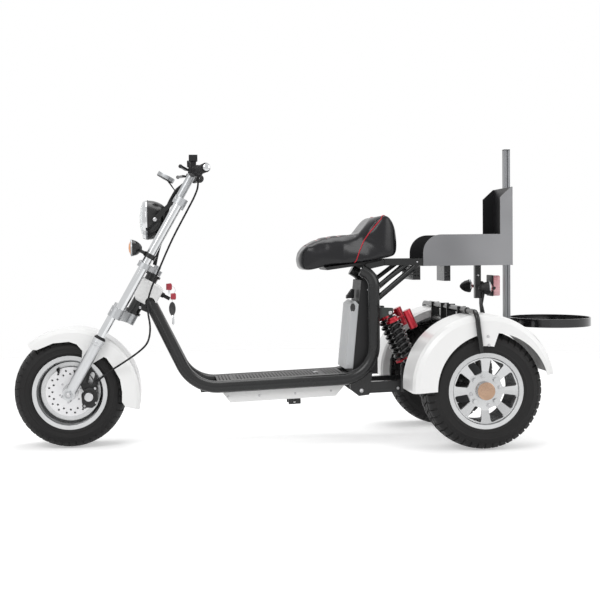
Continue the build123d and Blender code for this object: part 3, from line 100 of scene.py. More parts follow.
def makeGrainGroup():
    # fine moulded or cast grain: a height and a mask from noise over small cells
    group, entry, leave = newGroup("fineGrain", {"Vector": (0, 0, 0), "Scale": 900, "Cells": 0.5},
                                   {"Height": "Float", "Blotch": "Float"})
    sized = {"Vector": entry["Vector"], "Scale": entry["Scale"]}
    noise = addNode(group, "ShaderNodeTexNoise", None, {**sized, "Detail": 4, "Roughness": 0.6})
    cells = addNode(group, "ShaderNodeTexVoronoi", {"feature": "SMOOTH_F1"}, {**sized, "Smoothness": 0.4})
    blotch = addNode(group, "ShaderNodeTexNoise", None,
                     {"Vector": entry["Vector"], "Scale": 9, "Detail": 5, "Roughness": 0.55})
    mixed = addNode(group, "ShaderNodeMix", {"data_type": "FLOAT"},
                    {"Factor": entry["Cells"], 2: noise.outputs["Fac"], 3: cells.outputs["Distance"]})
    feed(group, leave, {"Height": mixed.outputs[0], "Blotch": blotch.outputs["Fac"]})
    return group


def makeEdgeGroup():
    # rounded edge normal, and a mask that is high along the edges, broken up by noise
    group, entry, leave = newGroup("softEdge", {"Vector": (0, 0, 0), "Radius": 0.001, "Break": 60},
                                   {"Normal": "Vector", "Edge": "Float"})
    bevel = addNode(group, "ShaderNodeBevel", {"samples": 4}, {"Radius": entry["Radius"]})
    flat = addNode(group, "ShaderNodeNewGeometry")
    dot = addNode(group, "ShaderNodeVectorMath", {"operation": "DOT_PRODUCT"},
                  {0: bevel.outputs[0], 1: flat.outputs["Normal"]})
    bend = mathNode(group, "MULTIPLY", mathNode(group, "SUBTRACT", 1.0, dot.outputs["Value"]), 7.0, clamp=True)
    noise = addNode(group, "ShaderNodeTexNoise", None,
                    {"Vector": entry["Vector"], "Scale": entry["Break"], "Detail": 3})
    broken = mathNode(group, "SUBTRACT", noise.outputs["Fac"], 0.35, clamp=True)
    feed(group, leave, {"Normal": bevel.outputs[0], "Edge": mathNode(group, "MULTIPLY", bend, broken)})
    return group


def makeDustGroup():
    # a thin patchy film, thicker where faces look up
    group, entry, leave = newGroup("dustFilm", {"Vector": (0, 0, 0), "Amount": 0.3, "Patch": 14}, {"Film": "Float"})
    flat = addNode(group, "ShaderNodeNewGeometry")
    split = addNode(group, "ShaderNodeSeparateXYZ", None, {0: flat.outputs["Normal"]})
    up = mathNode(group, "ADD", mathNode(group, "MULTIPLY", split.outputs["Z"], 0.6), 0.4, clamp=True)
    noise = addNode(group, "ShaderNodeTexNoise", None,
                    {"Vector": entry["Vector"], "Scale": entry["Patch"], "Detail": 6, "Roughness": 0.65})
    film = mathNode(group, "MULTIPLY", mathNode(group, "MULTIPLY", up, noise.outputs["Fac"]), entry["Amount"])
    feed(group, leave, {"Film": film})
    return group


grainGroup = makeGrainGroup()
edgeGroup = makeEdgeGroup()
dustGroup = makeDustGroup()


def placeGroup(tree, group, vector, values):
    return addNode(tree, "ShaderNodeGroup", {"node_tree": group}, {"Vector": vector, **values}).outputs


def mixColor(tree, factor, *colors):
    first, second = [(*color, 1) if isinstance(color, tuple) else color for color in colors]
    return addNode(tree, "ShaderNodeMix", {"data_type": "RGBA"}, {0: factor, 6: first, 7: second}).outputs[2]


def spread(tree, mask, span, base, clamp=False):
    # the mask times the span, on top of the base
    return mathNode(tree, "ADD", mathNode(tree, "MULTIPLY", mask, span), base, clamp=clamp)


def bumpFrom(tree, height, strength, distance, under=None):
    node = addNode(tree, "ShaderNodeBump", None, {"Strength": strength, "Distance": distance, "Height": height})
    if under is not None:
        tree.links.new(under, node.inputs["Normal"])
    return node.outputs[0]


def startMaterial(name):
    material = bpy.data.materials.new(name)
    material.use_nodes = True
    tree = material.node_tree
    return material, tree, tree.nodes["Principled BSDF"], tree.nodes.new("ShaderNodeTexCoord").outputs["Object"]


surfaceDefaults = {"grain": 900, "cells": 0.4, "dust": 0.12, "patch": 11, "bump": 0.15, "depth": 0.0003, "metal": 0,
                   "coat": 0, "coatRough": 0.08, "spec": 0.5}


def surface(name, color, other, rough, settings):
    # a material with grain, soft edges, colour variation and a thin dust film
    given = {**surfaceDefaults, "wear": color, **settings}
    material, tree, shader, place = startMaterial(name)
    grain = placeGroup(tree, grainGroup, place, {"Scale": given["grain"], "Cells": given["cells"]})
    edge = placeGroup(tree, edgeGroup, place, {"Radius": 0.0012, "Break": 45})
    film = placeGroup(tree, dustGroup, place, {"Amount": given["dust"], "Patch": given["patch"]})["Film"]
    worn = mixColor(tree, edge["Edge"], mixColor(tree, grain["Blotch"], color, other), given["wear"])
    low, high = rough
    clean = spread(tree, grain["Blotch"], high - low, low)
    feed(tree, shader, {
        "Base Color": mixColor(tree, film, worn, (0.45, 0.43, 0.4)),
        "Roughness": spread(tree, film, 0.5, clean, clamp=True),
        "Normal": bumpFrom(tree, grain["Height"], given["bump"], given["depth"], edge["Normal"]),
        "Metallic": given["metal"],
        "Coat Weight": given["coat"],
        "Coat Roughness": given["coatRough"],
        "Specular IOR Level": given["spec"],
    })
    return material


# a finish: its colour, the colour of its blotches, least and most roughness, and what differs from the defaults
finishes = {
    "blackEnamel": ((0.006, 0.0065, 0.007), (0.011, 0.0115, 0.012), (0.2, 0.32),
                    {"coat": 0.2, "coatRough": 0.12, "bump": 0.08, "grain": 420, "wear": (0.03, 0.03, 0.03),
                     "spec": 0.3, "dust": 0.02}),
    "whiteEnamel": ((0.87, 0.87, 0.865), (0.83, 0.83, 0.825), (0.28, 0.38),
                    {"coat": 0.35, "coatRough": 0.12, "bump": 0.04, "grain": 260, "dust": 0.04}),
    "greyEnamel": ((0.022, 0.03, 0.026), (0.034, 0.042, 0.038), (0.35, 0.5),
                   {"coat": 0.2, "bump": 0.1, "dust": 0.03, "spec": 0.35}),
    "silverPaint": ((0.62, 0.63, 0.64), (0.52, 0.53, 0.54), (0.3, 0.42),
                    {"metal": 0.7, "coat": 0.4, "bump": 0.08, "grain": 500, "dust": 0.04}),
    "castAlloy": ((0.46, 0.47, 0.48), (0.34, 0.35, 0.36), (0.34, 0.5),
                  {"metal": 0.9, "bump": 0.25, "grain": 700, "dust": 0.05}),
    "extrudedAlloy": ((0.27, 0.275, 0.285), (0.2, 0.205, 0.215), (0.28, 0.4),
                      {"metal": 0.9, "bump": 0.12, "grain": 600, "dust": 0.04}),
    "polishedRim": ((0.6, 0.605, 0.61), (0.4, 0.405, 0.41), (0.16, 0.3),
                    {"metal": 0.9, "coat": 0.2, "bump": 0.05, "grain": 300, "dust": 0.03}),
    "redAnodised": ((0.5, 0.008, 0.025), (0.36, 0.006, 0.018), (0.25, 0.36),
                    {"metal": 0.6, "coat": 0.3, "bump": 0.06, "dust": 0.02}),
    "motorCast": ((0.05, 0.052, 0.056), (0.075, 0.077, 0.08), (0.45, 0.6),
                  {"metal": 0.6, "bump": 0.4, "grain": 500, "dust": 0.08}),
    "blackCast": ((0.007, 0.007, 0.008), (0.014, 0.014, 0.015), (0.36, 0.5),
                  {"bump": 0.4, "grain": 600, "wear": (0.08, 0.08, 0.08), "spec": 0.35, "dust": 0.03}),
    "springBlack": ((0.005, 0.005, 0.006), (0.009, 0.009, 0.01), (0.18, 0.3),
                    {"coat": 0.4, "bump": 0.05, "spec": 0.35, "dust": 0.02}),
    "groundSteel": ((0.76, 0.76, 0.77), (0.6, 0.6, 0.61), (0.28, 0.42),
                    {"metal": 0.85, "bump": 0.15, "grain": 800, "dust": 0.02}),
    "satinBlack": ((0.006, 0.006, 0.007), (0.011, 0.011, 0.012), (0.3, 0.42),
                   {"coat": 0.1, "bump": 0.08, "spec": 0.3, "dust": 0.02}),
    "mouldedBlack": ((0.007, 0.007, 0.008), (0.013, 0.013, 0.014), (0.4, 0.54),
                     {"bump": 0.3, "grain": 1100, "cells": 0.7, "spec": 0.28, "dust": 0.03}),
    "deckBlack": ((0.012, 0.012, 0.013), (0.02, 0.02, 0.021), (0.36, 0.5),
                  {"bump": 0.3, "grain": 1100, "cells": 0.7, "spec": 0.45, "dust": 0.1, "patch": 8}),
    "mouldedGrey": ((0.5, 0.51, 0.52), (0.4, 0.41, 0.42), (0.36, 0.5),
                    {"bump": 0.16, "grain": 1100, "cells": 0.7, "dust": 0.05, "metal": 0.3}),
    "softRubber": ((0.006, 0.006, 0.007), (0.012, 0.012, 0.013), (0.55, 0.7),
                   {"bump": 0.3, "grain": 1300, "spec": 0.25, "dust": 0.03}),
    "goldCap": ((0.46, 0.31, 0.22), (0.3, 0.19, 0.12), (0.2, 0.34),
                {"metal": 0.9, "coat": 0.4, "bump": 0.2, "grain": 160, "depth": 0.0006, "dust": 0.02}),
    "redPlastic": ((0.45, 0.02, 0.045), (0.34, 0.015, 0.03), (0.3, 0.42),
                   {"coat": 0.3, "bump": 0.12, "grain": 900, "dust": 0.02}),
    "glossBlack": ((0.005, 0.005, 0.006), (0.01, 0.01, 0.011), (0.1, 0.2),
                   {"coat": 0.5, "coatRough": 0.06, "bump": 0.04, "grain": 260, "dust": 0.01, "spec": 0.4}),
    "dialFace": ((0.006, 0.006, 0.008), (0.01, 0.01, 0.012), (0.4, 0.5), {"bump": 0.05, "dust": 0.01, "spec": 0.3}),
    "paintWhite": ((0.8, 0.8, 0.8), (0.72, 0.72, 0.72), (0.4, 0.5), {"bump": 0.05, "dust": 0.02}),
    "screwSteel": ((0.6, 0.6, 0.61), (0.42, 0.42, 0.43), (0.22, 0.36),
                   {"metal": 0.95, "bump": 0.1, "grain": 500, "dust": 0.02}),
}
materials = {name: surface(name, *values) for name, values in finishes.items()}


def makeChrome(name):
    material, tree, shader, place = startMaterial(name)
    grain = placeGroup(tree, grainGroup, place, {"Scale": 140, "Cells": 0.1})
    edge = placeGroup(tree, edgeGroup, place, {"Radius": 0.0012, "Break": 40})
    feed(tree, shader, {
        "Base Color": mixColor(tree, grain["Blotch"], (0.68, 0.69, 0.7), (0.52, 0.53, 0.54)),
        "Metallic": 1,
        "Roughness": spread(tree, grain["Blotch"], 0.12, 0.02),
        "Normal": bumpFrom(tree, grain["Height"], 0.02, 0.0003, edge["Normal"]),
    })
    return material


def makeClearLens(name):
    material, tree, shader, place = startMaterial(name)
    grain = placeGroup(tree, grainGroup, place, {"Scale": 120, "Cells": 0.8})
    feed(tree, shader, {
        "Base Color": mixColor(tree, grain["Blotch"], (0.96, 0.98, 0.985), (0.9, 0.93, 0.94)),
        "Transmission Weight": 0.94,
        "IOR": 1.2,
        "Roughness": mathNode(tree, "MULTIPLY", grain["Blotch"], 0.08),
        "Normal": bumpFrom(tree, grain["Height"], 0.06, 0.0004),
    })
    return material


def makeLampPlastic(name, color, other, stripes):
    # lamp cover with ribs across its height; stripes is how many ribs a metre
    material, tree, shader, place = startMaterial(name)
    grain = placeGroup(tree, grainGroup, place, {"Scale": 200, "Cells": 0.5})
    split = addNode(tree, "ShaderNodeSeparateXYZ", None, {0: place})
    wave = mathNode(tree, "SINE", mathNode(tree, "MULTIPLY", split.outputs["Z"], stripes * math.tau))
    feed(tree, shader, {
        "Base Color": mixColor(tree, grain["Blotch"], color, other),
        "Roughness": spread(tree, grain["Blotch"], 0.12, 0.08),
        "Normal": bumpFrom(tree, wave, 0.35, 0.0012),
        "Coat Weight": 0.7,
    })
    return material


def makeTyreRubber(name):
    material, tree, shader, place = startMaterial(name)
    grain = placeGroup(tree, grainGroup, place, {"Scale": 700, "Cells": 0.5})
    film = placeGroup(tree, dustGroup, place, {"Amount": 0.07, "Patch": 16})["Film"]
    edge = placeGroup(tree, edgeGroup, place, {"Radius": 0.0015, "Break": 60})
    black = mixColor(tree, grain["Blotch"], (0.007, 0.007, 0.0075), (0.014, 0.0135, 0.0135))
    feed(tree, shader, {
        "Base Color": mixColor(tree, film, black, (0.16, 0.15, 0.14)),
        "Roughness": spread(tree, grain["Blotch"], 0.2, 0.45),
        "Normal": bumpFrom(tree, grain["Height"], 0.25, 0.0004, edge["Normal"]),
        "Specular IOR Level": 0.22,
    })
    return material


def makeVinyl(name, color, other, glow):
    # upholstery vinyl: leather cells, fine wrinkles and a soft sheen
    material, tree, shader, place = startMaterial(name)
    grain = placeGroup(tree, grainGroup, place, {"Scale": 520, "Cells": 0.8})
    wrinkle = addNode(tree, "ShaderNodeTexNoise", None,
                      {"Vector": place, "Scale": 30, "Detail": 6, "Roughness": 0.6, "Distortion": 0.6}).outputs["Fac"]
    feed(tree, shader, {
        "Base Color": mixColor(tree, grain["Blotch"], color, other),
        "Roughness": spread(tree, wrinkle, 0.16, glow),
        "Normal": bumpFrom(tree, wrinkle, 0.06, 0.003, bumpFrom(tree, grain["Height"], 0.12, 0.0003)),
        "Specular IOR Level": 0.32,
    })
    return material


def makeTrayMetal(name):
    # sheet steel: brushed grey on its outer sides and back; the black inside and across its front is painted shading
    # and a painted black reflection, not a black finish
    material, tree, shader, place = startMaterial(name)
    grain = placeGroup(tree, grainGroup, place, {"Scale": 900, "Cells": 0.4})
    edge = placeGroup(tree, edgeGroup, place, {"Radius": 0.001, "Break": 60})
    cloud = addNode(tree, "ShaderNodeTexNoise", None, {"Vector": place, "Scale": 2.6, "Detail": 2, "Roughness": 0.4})
    split = addNode(tree, "ShaderNodeSeparateXYZ", None, {0: place}).outputs
    # mask: 1 on the outer sides and the back, where the grey steel shows; 0 inside and on the front, where the
    # painted shading goes
    outside = mathNode(tree, "GREATER_THAN", mathNode(tree, "ABSOLUTE", split["Y"]), 0.1303)
    behind = mathNode(tree, "GREATER_THAN", split["X"], 0.7921)
    sheet = mathNode(tree, "MAXIMUM", outside, behind)
    # broad patches of lighter and darker grey, at random over the steel
    cloudTone = addNode(tree, "ShaderNodeMapRange", None,
                    {"Value": cloud.outputs["Fac"], "From Min": 0.3, "From Max": 0.7})
    bare = mixColor(tree, cloudTone.outputs["Result"], (0.15, 0.151, 0.157), (0.29, 0.291, 0.3))
    # black for inside and the front: painted shading and painted reflection, not the steel's own colour
    paintedShadeBlack = mixColor(tree, grain["Blotch"], (0.007, 0.007, 0.008), (0.013, 0.013, 0.014))
    feed(tree, shader, {
        "Base Color": mixColor(tree, sheet, paintedShadeBlack, bare),
        "Metallic": mathNode(tree, "MULTIPLY", sheet, 0.75),
        "Roughness": spread(tree, grain["Blotch"], 0.14, 0.34),
        "Normal": bumpFrom(tree, grain["Height"], 0.12, 0.0002, edge["Normal"]),
        "Specular IOR Level": 0.3,
    })
    return material


specialFinishes = {
    "trayMetal": (makeTrayMetal,),
    "brightChrome": (makeChrome,),
    "clearLens": (makeClearLens,),
    "lampRed": (makeLampPlastic, (0.55, 0.015, 0.03), (0.4, 0.01, 0.02), 110),
    "lampClear": (makeLampPlastic, (0.85, 0.8, 0.8), (0.78, 0.7, 0.7), 110),
    "lampAmber": (makeLampPlastic, (0.8, 0.28, 0.02), (0.7, 0.2, 0.01), 160),
    "tailBands": (makeLampPlastic, (0.66, 0.1, 0.14), (0.86, 0.62, 0.64), 110),
    "tyreRubber": (makeTyreRubber,),
    "saddleVinyl": (makeVinyl, (0.005, 0.005, 0.006), (0.009, 0.009, 0.011), 0.16),
    "redPiping": (makeVinyl, (0.5, 0.02, 0.04), (0.4, 0.015, 0.03), 0.3),
}
for name, (maker, *values) in specialFinishes.items():
    materials[name] = maker(name, *values)

# each finish's slot in the library, and the solids that wear it
finishUse = {
    "blackEnamel": ("black_paint", ["main_frame", "rear_carrier", "fender_frame", "bag_rack", "stand_bracket",
                                    "headlamp_bracket", "headlamp_shell", "front_signals"]),
    "whiteEnamel": ("white_paint", ["neck_cover", "belly_pan", "front_fender", "rear_fenders"]),
    "trayMetal": ("satin_black_sheet", ["bag_tray", "bag_back"]),
    "greyEnamel": ("grey_paint", ["shock_mounts"]),
    "silverPaint": ("silver_paint", ["fork_sliders"]),
    "castAlloy": ("silver_alloy", ["lower_yoke", "upper_yokes", "bar_risers", "front_axle"]),
    "extrudedAlloy": ("aluminium", ["bag_pole"]),
    "polishedRim": ("rim_silver", ["front_rim", "rear_rim_left", "rear_rim_right"]),
    "redAnodised": ("red_anodised", ["shock_collars", "shock_reservoirs"]),
    "motorCast": ("cast_metal", ["motor"]),
    "blackCast": ("black_cast", ["front_caliper", "shocks"]),
    "springBlack": ("black_spring", ["shock_coils"]),
    "groundSteel": ("disc_steel", ["front_disc"]),
    "satinBlack": ("black_bar", ["handlebar", "brake_levers"]),
    "deckBlack": ("black_plastic", ["deck_floor", "deck_lid"]),
    "glossBlack": ("black_plastic", ["bag_ring"]),
    "mouldedBlack": ("black_plastic", ["pillar_box", "battery", "seat_base", "tail_bracket", "ignition_lock",
                                       "bar_controls", "speedometer"]),
    "mouldedGrey": ("grey_plastic", ["pillar_panel"]),
    "softRubber": ("black_rubber", ["grips", "looms", "brake_hose"]),
    "brightChrome": ("chrome", ["fork_tubes", "headlamp_ring"]),
    "clearLens": ("clear_lens", ["headlamp_lens"]),
    "lampRed": ("lamp_red", ["tail_lamp"]),
    "tyreRubber": ("tyre_rubber", ["front_tyre", "rear_tyre_left", "rear_tyre_right"]),
    "saddleVinyl": ("black_vinyl", ["seat"]),
    "lampClear": ("clear_lens", []),
    "lampAmber": ("lamp_red", []),
    "redPiping": ("black_vinyl", []),
    "goldCap": ("rim_silver", []),
    "screwSteel": ("silver_alloy", []),
    "redPlastic": ("lamp_red", []),
    "dialFace": ("black_plastic", []),
    "paintWhite": ("white_paint", []),
    "tailBands": ("lamp_red", []),
}
for finish, (_, names) in finishUse.items():
    for name in names:
        nodes[name].data.materials.clear()
        nodes[name].data.materials.append(materials[finish])
print("stage: materials on", sum(len(names) for _, names in finishUse.values()), "nodes")


# ---- shared makers for meshes


def bvhOf(mesh):
    return BVHTree.FromPolygons([v.co for v in mesh.vertices], [tuple(p.vertices) for p in mesh.polygons])


bvhCache = {}


def castOn(names, start, direction):
    # the first point of these CAD nodes along a ray, with the face's outward normal
    best = None
    for name in names:
        if name not in bvhCache:
            bvhCache[name] = bvhOf(nodes[name].data)
        place, normal, _, distance = bvhCache[name].ray_cast(start, direction)
        if place is not None and (best is None or distance < best[2]):
            best = (place, normal if normal.dot(direction) < 0 else -normal, distance)
    if best is None:
        raise ValueError("nothing of " + ", ".join(names) + " on the ray")
    return best[0], best[1]


def fromSide(names, x, z, side=-1):
    # a point on the side of the trike, looked at square on, in design millimetres
    return castOn(names, at(x, side * 700, z), Vector((0, -side, 0)))


def aimed(place, direction, up="Y"):
    # puts local +Z along the direction
    return Matrix.Translation(place) @ Vector(direction).to_track_quat("Z", up).to_matrix().to_4x4()


def flatSide(y):
    # local X and Y laid on the side view, local Z towards the near side, from this side place
    return Matrix.Translation(at(0, y, 0)) @ Matrix(((1, 0, 0, 0), (0, 0, -1, 0), (0, 1, 0, 0), (0, 0, 0, 1)))


def finishMesh(mesh, angle=32):
    mesh.polygons.foreach_set("use_smooth", [True] * len(mesh.polygons))
    mesh.set_sharp_from_angle(angle=math.radians(angle))
    return mesh


def meshFrom(shape, name):
    mesh = bpy.data.meshes.new(name)
    shape.to_mesh(mesh)
    shape.free()
    return mesh


def closeShape(shape, name, angle=32):
    bmesh.ops.remove_doubles(shape, verts=shape.verts, dist=1e-6)
    bmesh.ops.recalc_face_normals(shape, faces=shape.faces)
    return finishMesh(meshFrom(shape, name), angle)


def bevelled(shape, edges, width, segments):
    bmesh.ops.bevel(shape, geom=edges, offset=width / 1000, segments=segments, profile=0.5, affect="EDGES")


def lathe(name, profile, steps, place, closed=False, angle=32, radiusAt=None):
    # turns (radius, along) pairs in millimetres about local Z; radiusAt may vary a radius round the turn
    shape = bmesh.new()
    rings = []
    for step in range(steps):
        turn = math.tau * step / steps
        ring = []
        for row, (radius, along) in enumerate(profile):
            if radiusAt:
                radius = radiusAt(row, radius, turn)
            spot = Vector((radius * math.cos(turn) / 1000, radius * math.sin(turn) / 1000, along / 1000))
            ring.append(shape.verts.new(place @ spot))
        rings.append(ring)
    last = len(profile) if closed else len(profile) - 1
    for here, after in zip(rings, rings[1:] + rings[:1]):
        for row in range(last):
            nextRow = (row + 1) % len(profile)
            shape.faces.new((here[row], after[row], after[nextRow], here[nextRow]))
    return closeShape(shape, name, angle)


def plate(name, outline, thickness, place, bevel=0.0, angle=32):
    # an outline in local X and Y, in millimetres, made solid up local Z with its rims bevelled
    shape = bmesh.new()
    low, high = [[shape.verts.new((x / 1000, y / 1000, z / 1000)) for x, y in outline] for z in (0, thickness)]
    shape.faces.new(low[::-1])
    shape.faces.new(high)
    for index in range(len(outline)):
        after = (index + 1) % len(outline)
        shape.faces.new((low[index], low[after], high[after], high[index]))
    if bevel:
        rims = [edge for edge in shape.edges if len({round(v.co.z, 7) for v in edge.verts}) == 1]
        bevelled(shape, rims, bevel, 2)
    bmesh.ops.transform(shape, matrix=place, verts=shape.verts)
    return closeShape(shape, name, angle)


def roundBox(name, sizes, place, bevel, segments=3):
    shape = bmesh.new()
    bmesh.ops.create_cube(shape, size=1)
    bmesh.ops.scale(shape, vec=[size / 1000 for size in sizes], verts=shape.verts)
    bevelled(shape, list(shape.edges), bevel, segments)
    bmesh.ops.transform(shape, matrix=place, verts=shape.verts)
    return closeShape(shape, name)


def joinMeshes(name, meshes):
    shape = bmesh.new()
    for mesh in meshes:
        shape.from_mesh(mesh)
        bpy.data.meshes.remove(mesh)
    return finishMesh(meshFrom(shape, name))


def putIn(name, data):
    item = bpy.data.objects.new(name, data)
    collection.objects.link(item)
    return item


def evaluatedMesh(piece):
    return bpy.data.meshes.new_from_object(piece.evaluated_get(bpy.context.evaluated_depsgraph_get()))


def addPiece(name, mesh, body, finish):
    piece = putIn(name, mesh)
    mesh.materials.clear()
    mesh.materials.append(materials[finish])
    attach(piece, body)
    return piece


def addJoined(name, meshes, body, finish):
    return addPiece(name, joinMeshes(name, meshes), body, finish)


def addTurned(name, profile, steps, place, body, finish, **shaping):
    return addPiece(name, lathe(name, profile, steps, place, **shaping), body, finish)


def smoothRoute(name, points):
    # a NURBS line through the route's space, given back as a plain chain of edges
    curve = bpy.data.curves.new(name, "CURVE")
    curve.dimensions = "3D"
    curve.resolution_u = 10
    spline = curve.splines.new("NURBS")
    spline.points.add(len(points) - 1)
    for point, place in zip(spline.points, points):
        point.co = (*place, 1)
    spline.order_u = 3
    spline.use_endpoint_u = True
    holder = putIn(name, curve)
    mesh = evaluatedMesh(holder)
    bpy.data.objects.remove(holder)
    return mesh


# ---- Geometry Nodes trees for what repeats


def startTree(name, inputs):
    # inputs are names with a number, or with the kind of a socket that has no value
    tree = bpy.data.node_groups.new(name, "GeometryNodeTree")
    for label, value in {"Geometry": "Geometry", **inputs, "Finish": "Material"}.items():
        kind = value if isinstance(value, str) else "Int" if isinstance(value, int) else "Float"
        socket = tree.interface.new_socket(label, in_out="INPUT", socket_type="NodeSocket" + kind)
        if kind != value:
            socket.default_value = value
    tree.interface.new_socket("Geometry", in_out="OUTPUT", socket_type="NodeSocketGeometry")
    return tree, tree.nodes.new("NodeGroupInput").outputs, tree.nodes.new("NodeGroupOutput")


def endTree(tree, entry, leave, geometry):
    real = addNode(tree, "GeometryNodeRealizeInstances", None, {0: geometry})
    paint = addNode(tree, "GeometryNodeSetMaterial", None, {"Geometry": real.outputs[0], "Material": entry["Finish"]})
    feed(tree, leave, {0: paint.outputs[0]})
    return tree


def copiesOf(tree, entry, inputs):
    part = addNode(tree, "GeometryNodeObjectInfo", {"transform_space": "ORIGINAL"}, {"Object": entry["Part"]})
    copies = addNode(tree, "GeometryNodeInstanceOnPoints", None, {"Instance": part.outputs["Geometry"], **inputs})
    return copies.outputs[0]


def makeRingTree():
    # copies of a part turned about local Z
    tree, entry, leave = startTree("ringRepeat", {"Part": "Object", "Count": 8})
    line = addNode(tree, "GeometryNodeMeshLine", {"mode": "OFFSET"}, {"Offset": (0, 0, 0), "Count": entry["Count"]})
    index = addNode(tree, "GeometryNodeInputIndex").outputs[0]
    turn = mathNode(tree, "DIVIDE", mathNode(tree, "MULTIPLY", index, math.tau), entry["Count"])
    angles = addNode(tree, "ShaderNodeCombineXYZ", None, {"Z": turn})
    return endTree(tree, entry, leave, copiesOf(tree, entry, {
        "Points": line.outputs[0], "Rotation": angles.outputs[0]}))


def makeScatterTree():
    # a part on each vertex, its local Z along the vertex's facing, sized by its size
    tree, entry, leave = startTree("scatterFacing", {"Part": "Object"})
    facing, size = [addNode(tree, "GeometryNodeInputNamedAttribute", {"data_type": kind}, {"Name": name}).outputs[0]
                    for kind, name in (("FLOAT_VECTOR", "facing"), ("FLOAT", "size"))]
    turned = addNode(tree, "FunctionNodeAlignRotationToVector", {"axis": "Z"}, {"Vector": facing})
    return endTree(tree, entry, leave, copiesOf(tree, entry, {
        "Points": entry["Geometry"], "Rotation": turned.outputs[0], "Scale": size}))


def makeRibbedTree():
    # a tube along a chain of edges, its radius rising and falling with every pitch
    tree, entry, leave = startTree("ribbedTube", {"Radius": 0.008, "Rib": 0.001, "Pitch": 0.004, "Step": 0.001,
                                                  "Sides": 16})
    line = addNode(tree, "GeometryNodeMeshToCurve", None, {0: entry["Geometry"]}).outputs[0]
    again = addNode(tree, "GeometryNodeResampleCurve", {"mode": "LENGTH"}, {"Curve": line, "Length": entry["Step"]})
    along = addNode(tree, "GeometryNodeSplineParameter").outputs["Length"]
    phase = mathNode(tree, "MULTIPLY", mathNode(tree, "DIVIDE", along, entry["Pitch"]), math.tau)
    swing = mathNode(tree, "MULTIPLY", mathNode(tree, "SINE", phase), entry["Rib"])
    circle = addNode(tree, "GeometryNodeCurvePrimitiveCircle", None, {"Radius": 1, "Resolution": entry["Sides"]})
    tube = addNode(tree, "GeometryNodeCurveToMesh", None, {
        "Fill Caps": True, "Curve": again.outputs[0], "Profile Curve": circle.outputs[0],
        "Scale": mathNode(tree, "ADD", entry["Radius"], swing)})
    return endTree(tree, entry, leave, tube.outputs[0])


def makeStitchTree():
    # a part every so often along a chain of edges, its local Z along the line
    tree, entry, leave = startTree("stitchRow", {"Part": "Object", "Spacing": 0.006})
    line = addNode(tree, "GeometryNodeMeshToCurve", None, {0: entry["Geometry"]}).outputs[0]
    points = addNode(tree, "GeometryNodeCurveToPoints", {"mode": "LENGTH"},
                     {"Curve": line, "Length": entry["Spacing"]}).outputs
    return endTree(tree, entry, leave, copiesOf(tree, entry, {
        "Points": points["Points"], "Rotation": points["Rotation"]}))


ringTree = makeRingTree()
scatterTree = makeScatterTree()
ribbedTree = makeRibbedTree()
stitchTree = makeStitchTree()


def grow(name, mesh, tree, finish, values=None, part=None, place=None, angle=32):
    # runs a tree over a mesh and gives back the plain mesh it makes
    holder = putIn(name, mesh)
    extra = putIn(name + "Part", part) if part else None
    values = {**(values or {}), "Finish": materials[finish], "Part": extra}
    modifier = holder.modifiers.new(tree.name, "NODES")
    modifier.node_group = tree
    for item in tree.interface.items_tree:
        if item.item_type == "SOCKET" and item.in_out == "INPUT" and item.name in values:
            modifier[item.identifier] = values[item.name]
    made = evaluatedMesh(holder)
    holder.modifiers.remove(modifier)
    for used in (holder, extra):
        if used:
            bpy.data.objects.remove(used)
    if place is not None:
        made.transform(place)
    return finishMesh(made, angle)


def tube(name, line, finish, radius, rib, pitch, step, sides):
    # a ribbed tube along a line, its sizes in metres
    return grow(name, line, ribbedTree, finish, {"Radius": radius, "Rib": rib, "Pitch": pitch, "Step": step,
                                                 "Sides": sides}, angle=60)


def pointMesh(name, rows):
    # vertices with a facing and a size, from (place, direction, size) rows
    mesh = bpy.data.meshes.new(name)
    mesh.from_pydata([tuple(place) for place, _, _ in rows], [], [])
    mesh.attributes.new("facing", "FLOAT_VECTOR", "POINT")
    mesh.attributes.new("size", "FLOAT", "POINT")
    facing, size = mesh.attributes["facing"], mesh.attributes["size"]  # adding one attribute moves the others
    for index, (_, direction, scale) in enumerate(rows):
        facing.data[index].vector = Vector(direction).normalized()
        size.data[index].value = scale
    return mesh


def hexRadius(turn, reach):
    turn = (turn + math.pi / 6) % (math.pi / 3) - math.pi / 6
    return reach / math.cos(turn)


def socketScrew():
    # a button head of 5 mm radius with a hexagon socket, its foot at the origin
    profile = [(0, -1.5), (5, -1.5), (5, 0.4), (4.7, 1.6), (3.9, 2.6), (2.7, 3.0), (2.5, 2.9), (2.5, 1.2), (0, 1.1)]
    return lathe("socketScrew", profile, 24, Matrix.Identity(4),
                 radiusAt=lambda row, radius, turn: hexRadius(turn, 2.3) if row in (6, 7) else radius)


def hexNut():
    # a flanged nut of 8 mm radius with a stud's end in it, its foot at the origin
    profile = [(0, -1.5), (8, -1.5), (8, 0.4), (7.4, 1.2), (6.0, 1.3), (6.0, 5.6), (5.4, 6.2), (3.3, 6.3), (3.2, 7.6),
               (2.8, 8.0), (0, 8.0)]
    return lathe("hexNut", profile, 24, Matrix.Identity(4),
                 radiusAt=lambda row, radius, turn: hexRadius(turn, radius * 0.9) if row in (4, 5, 6) else radius)


def fasten(name, part, body, finish, rows):
    # a copy of the part at each of the (place, direction, size) rows
    mesh = grow(name, pointMesh(name, rows), scatterTree, finish, part=part)
    return addPiece(name, mesh, body, finish)


# ---- tyres with tread blocks

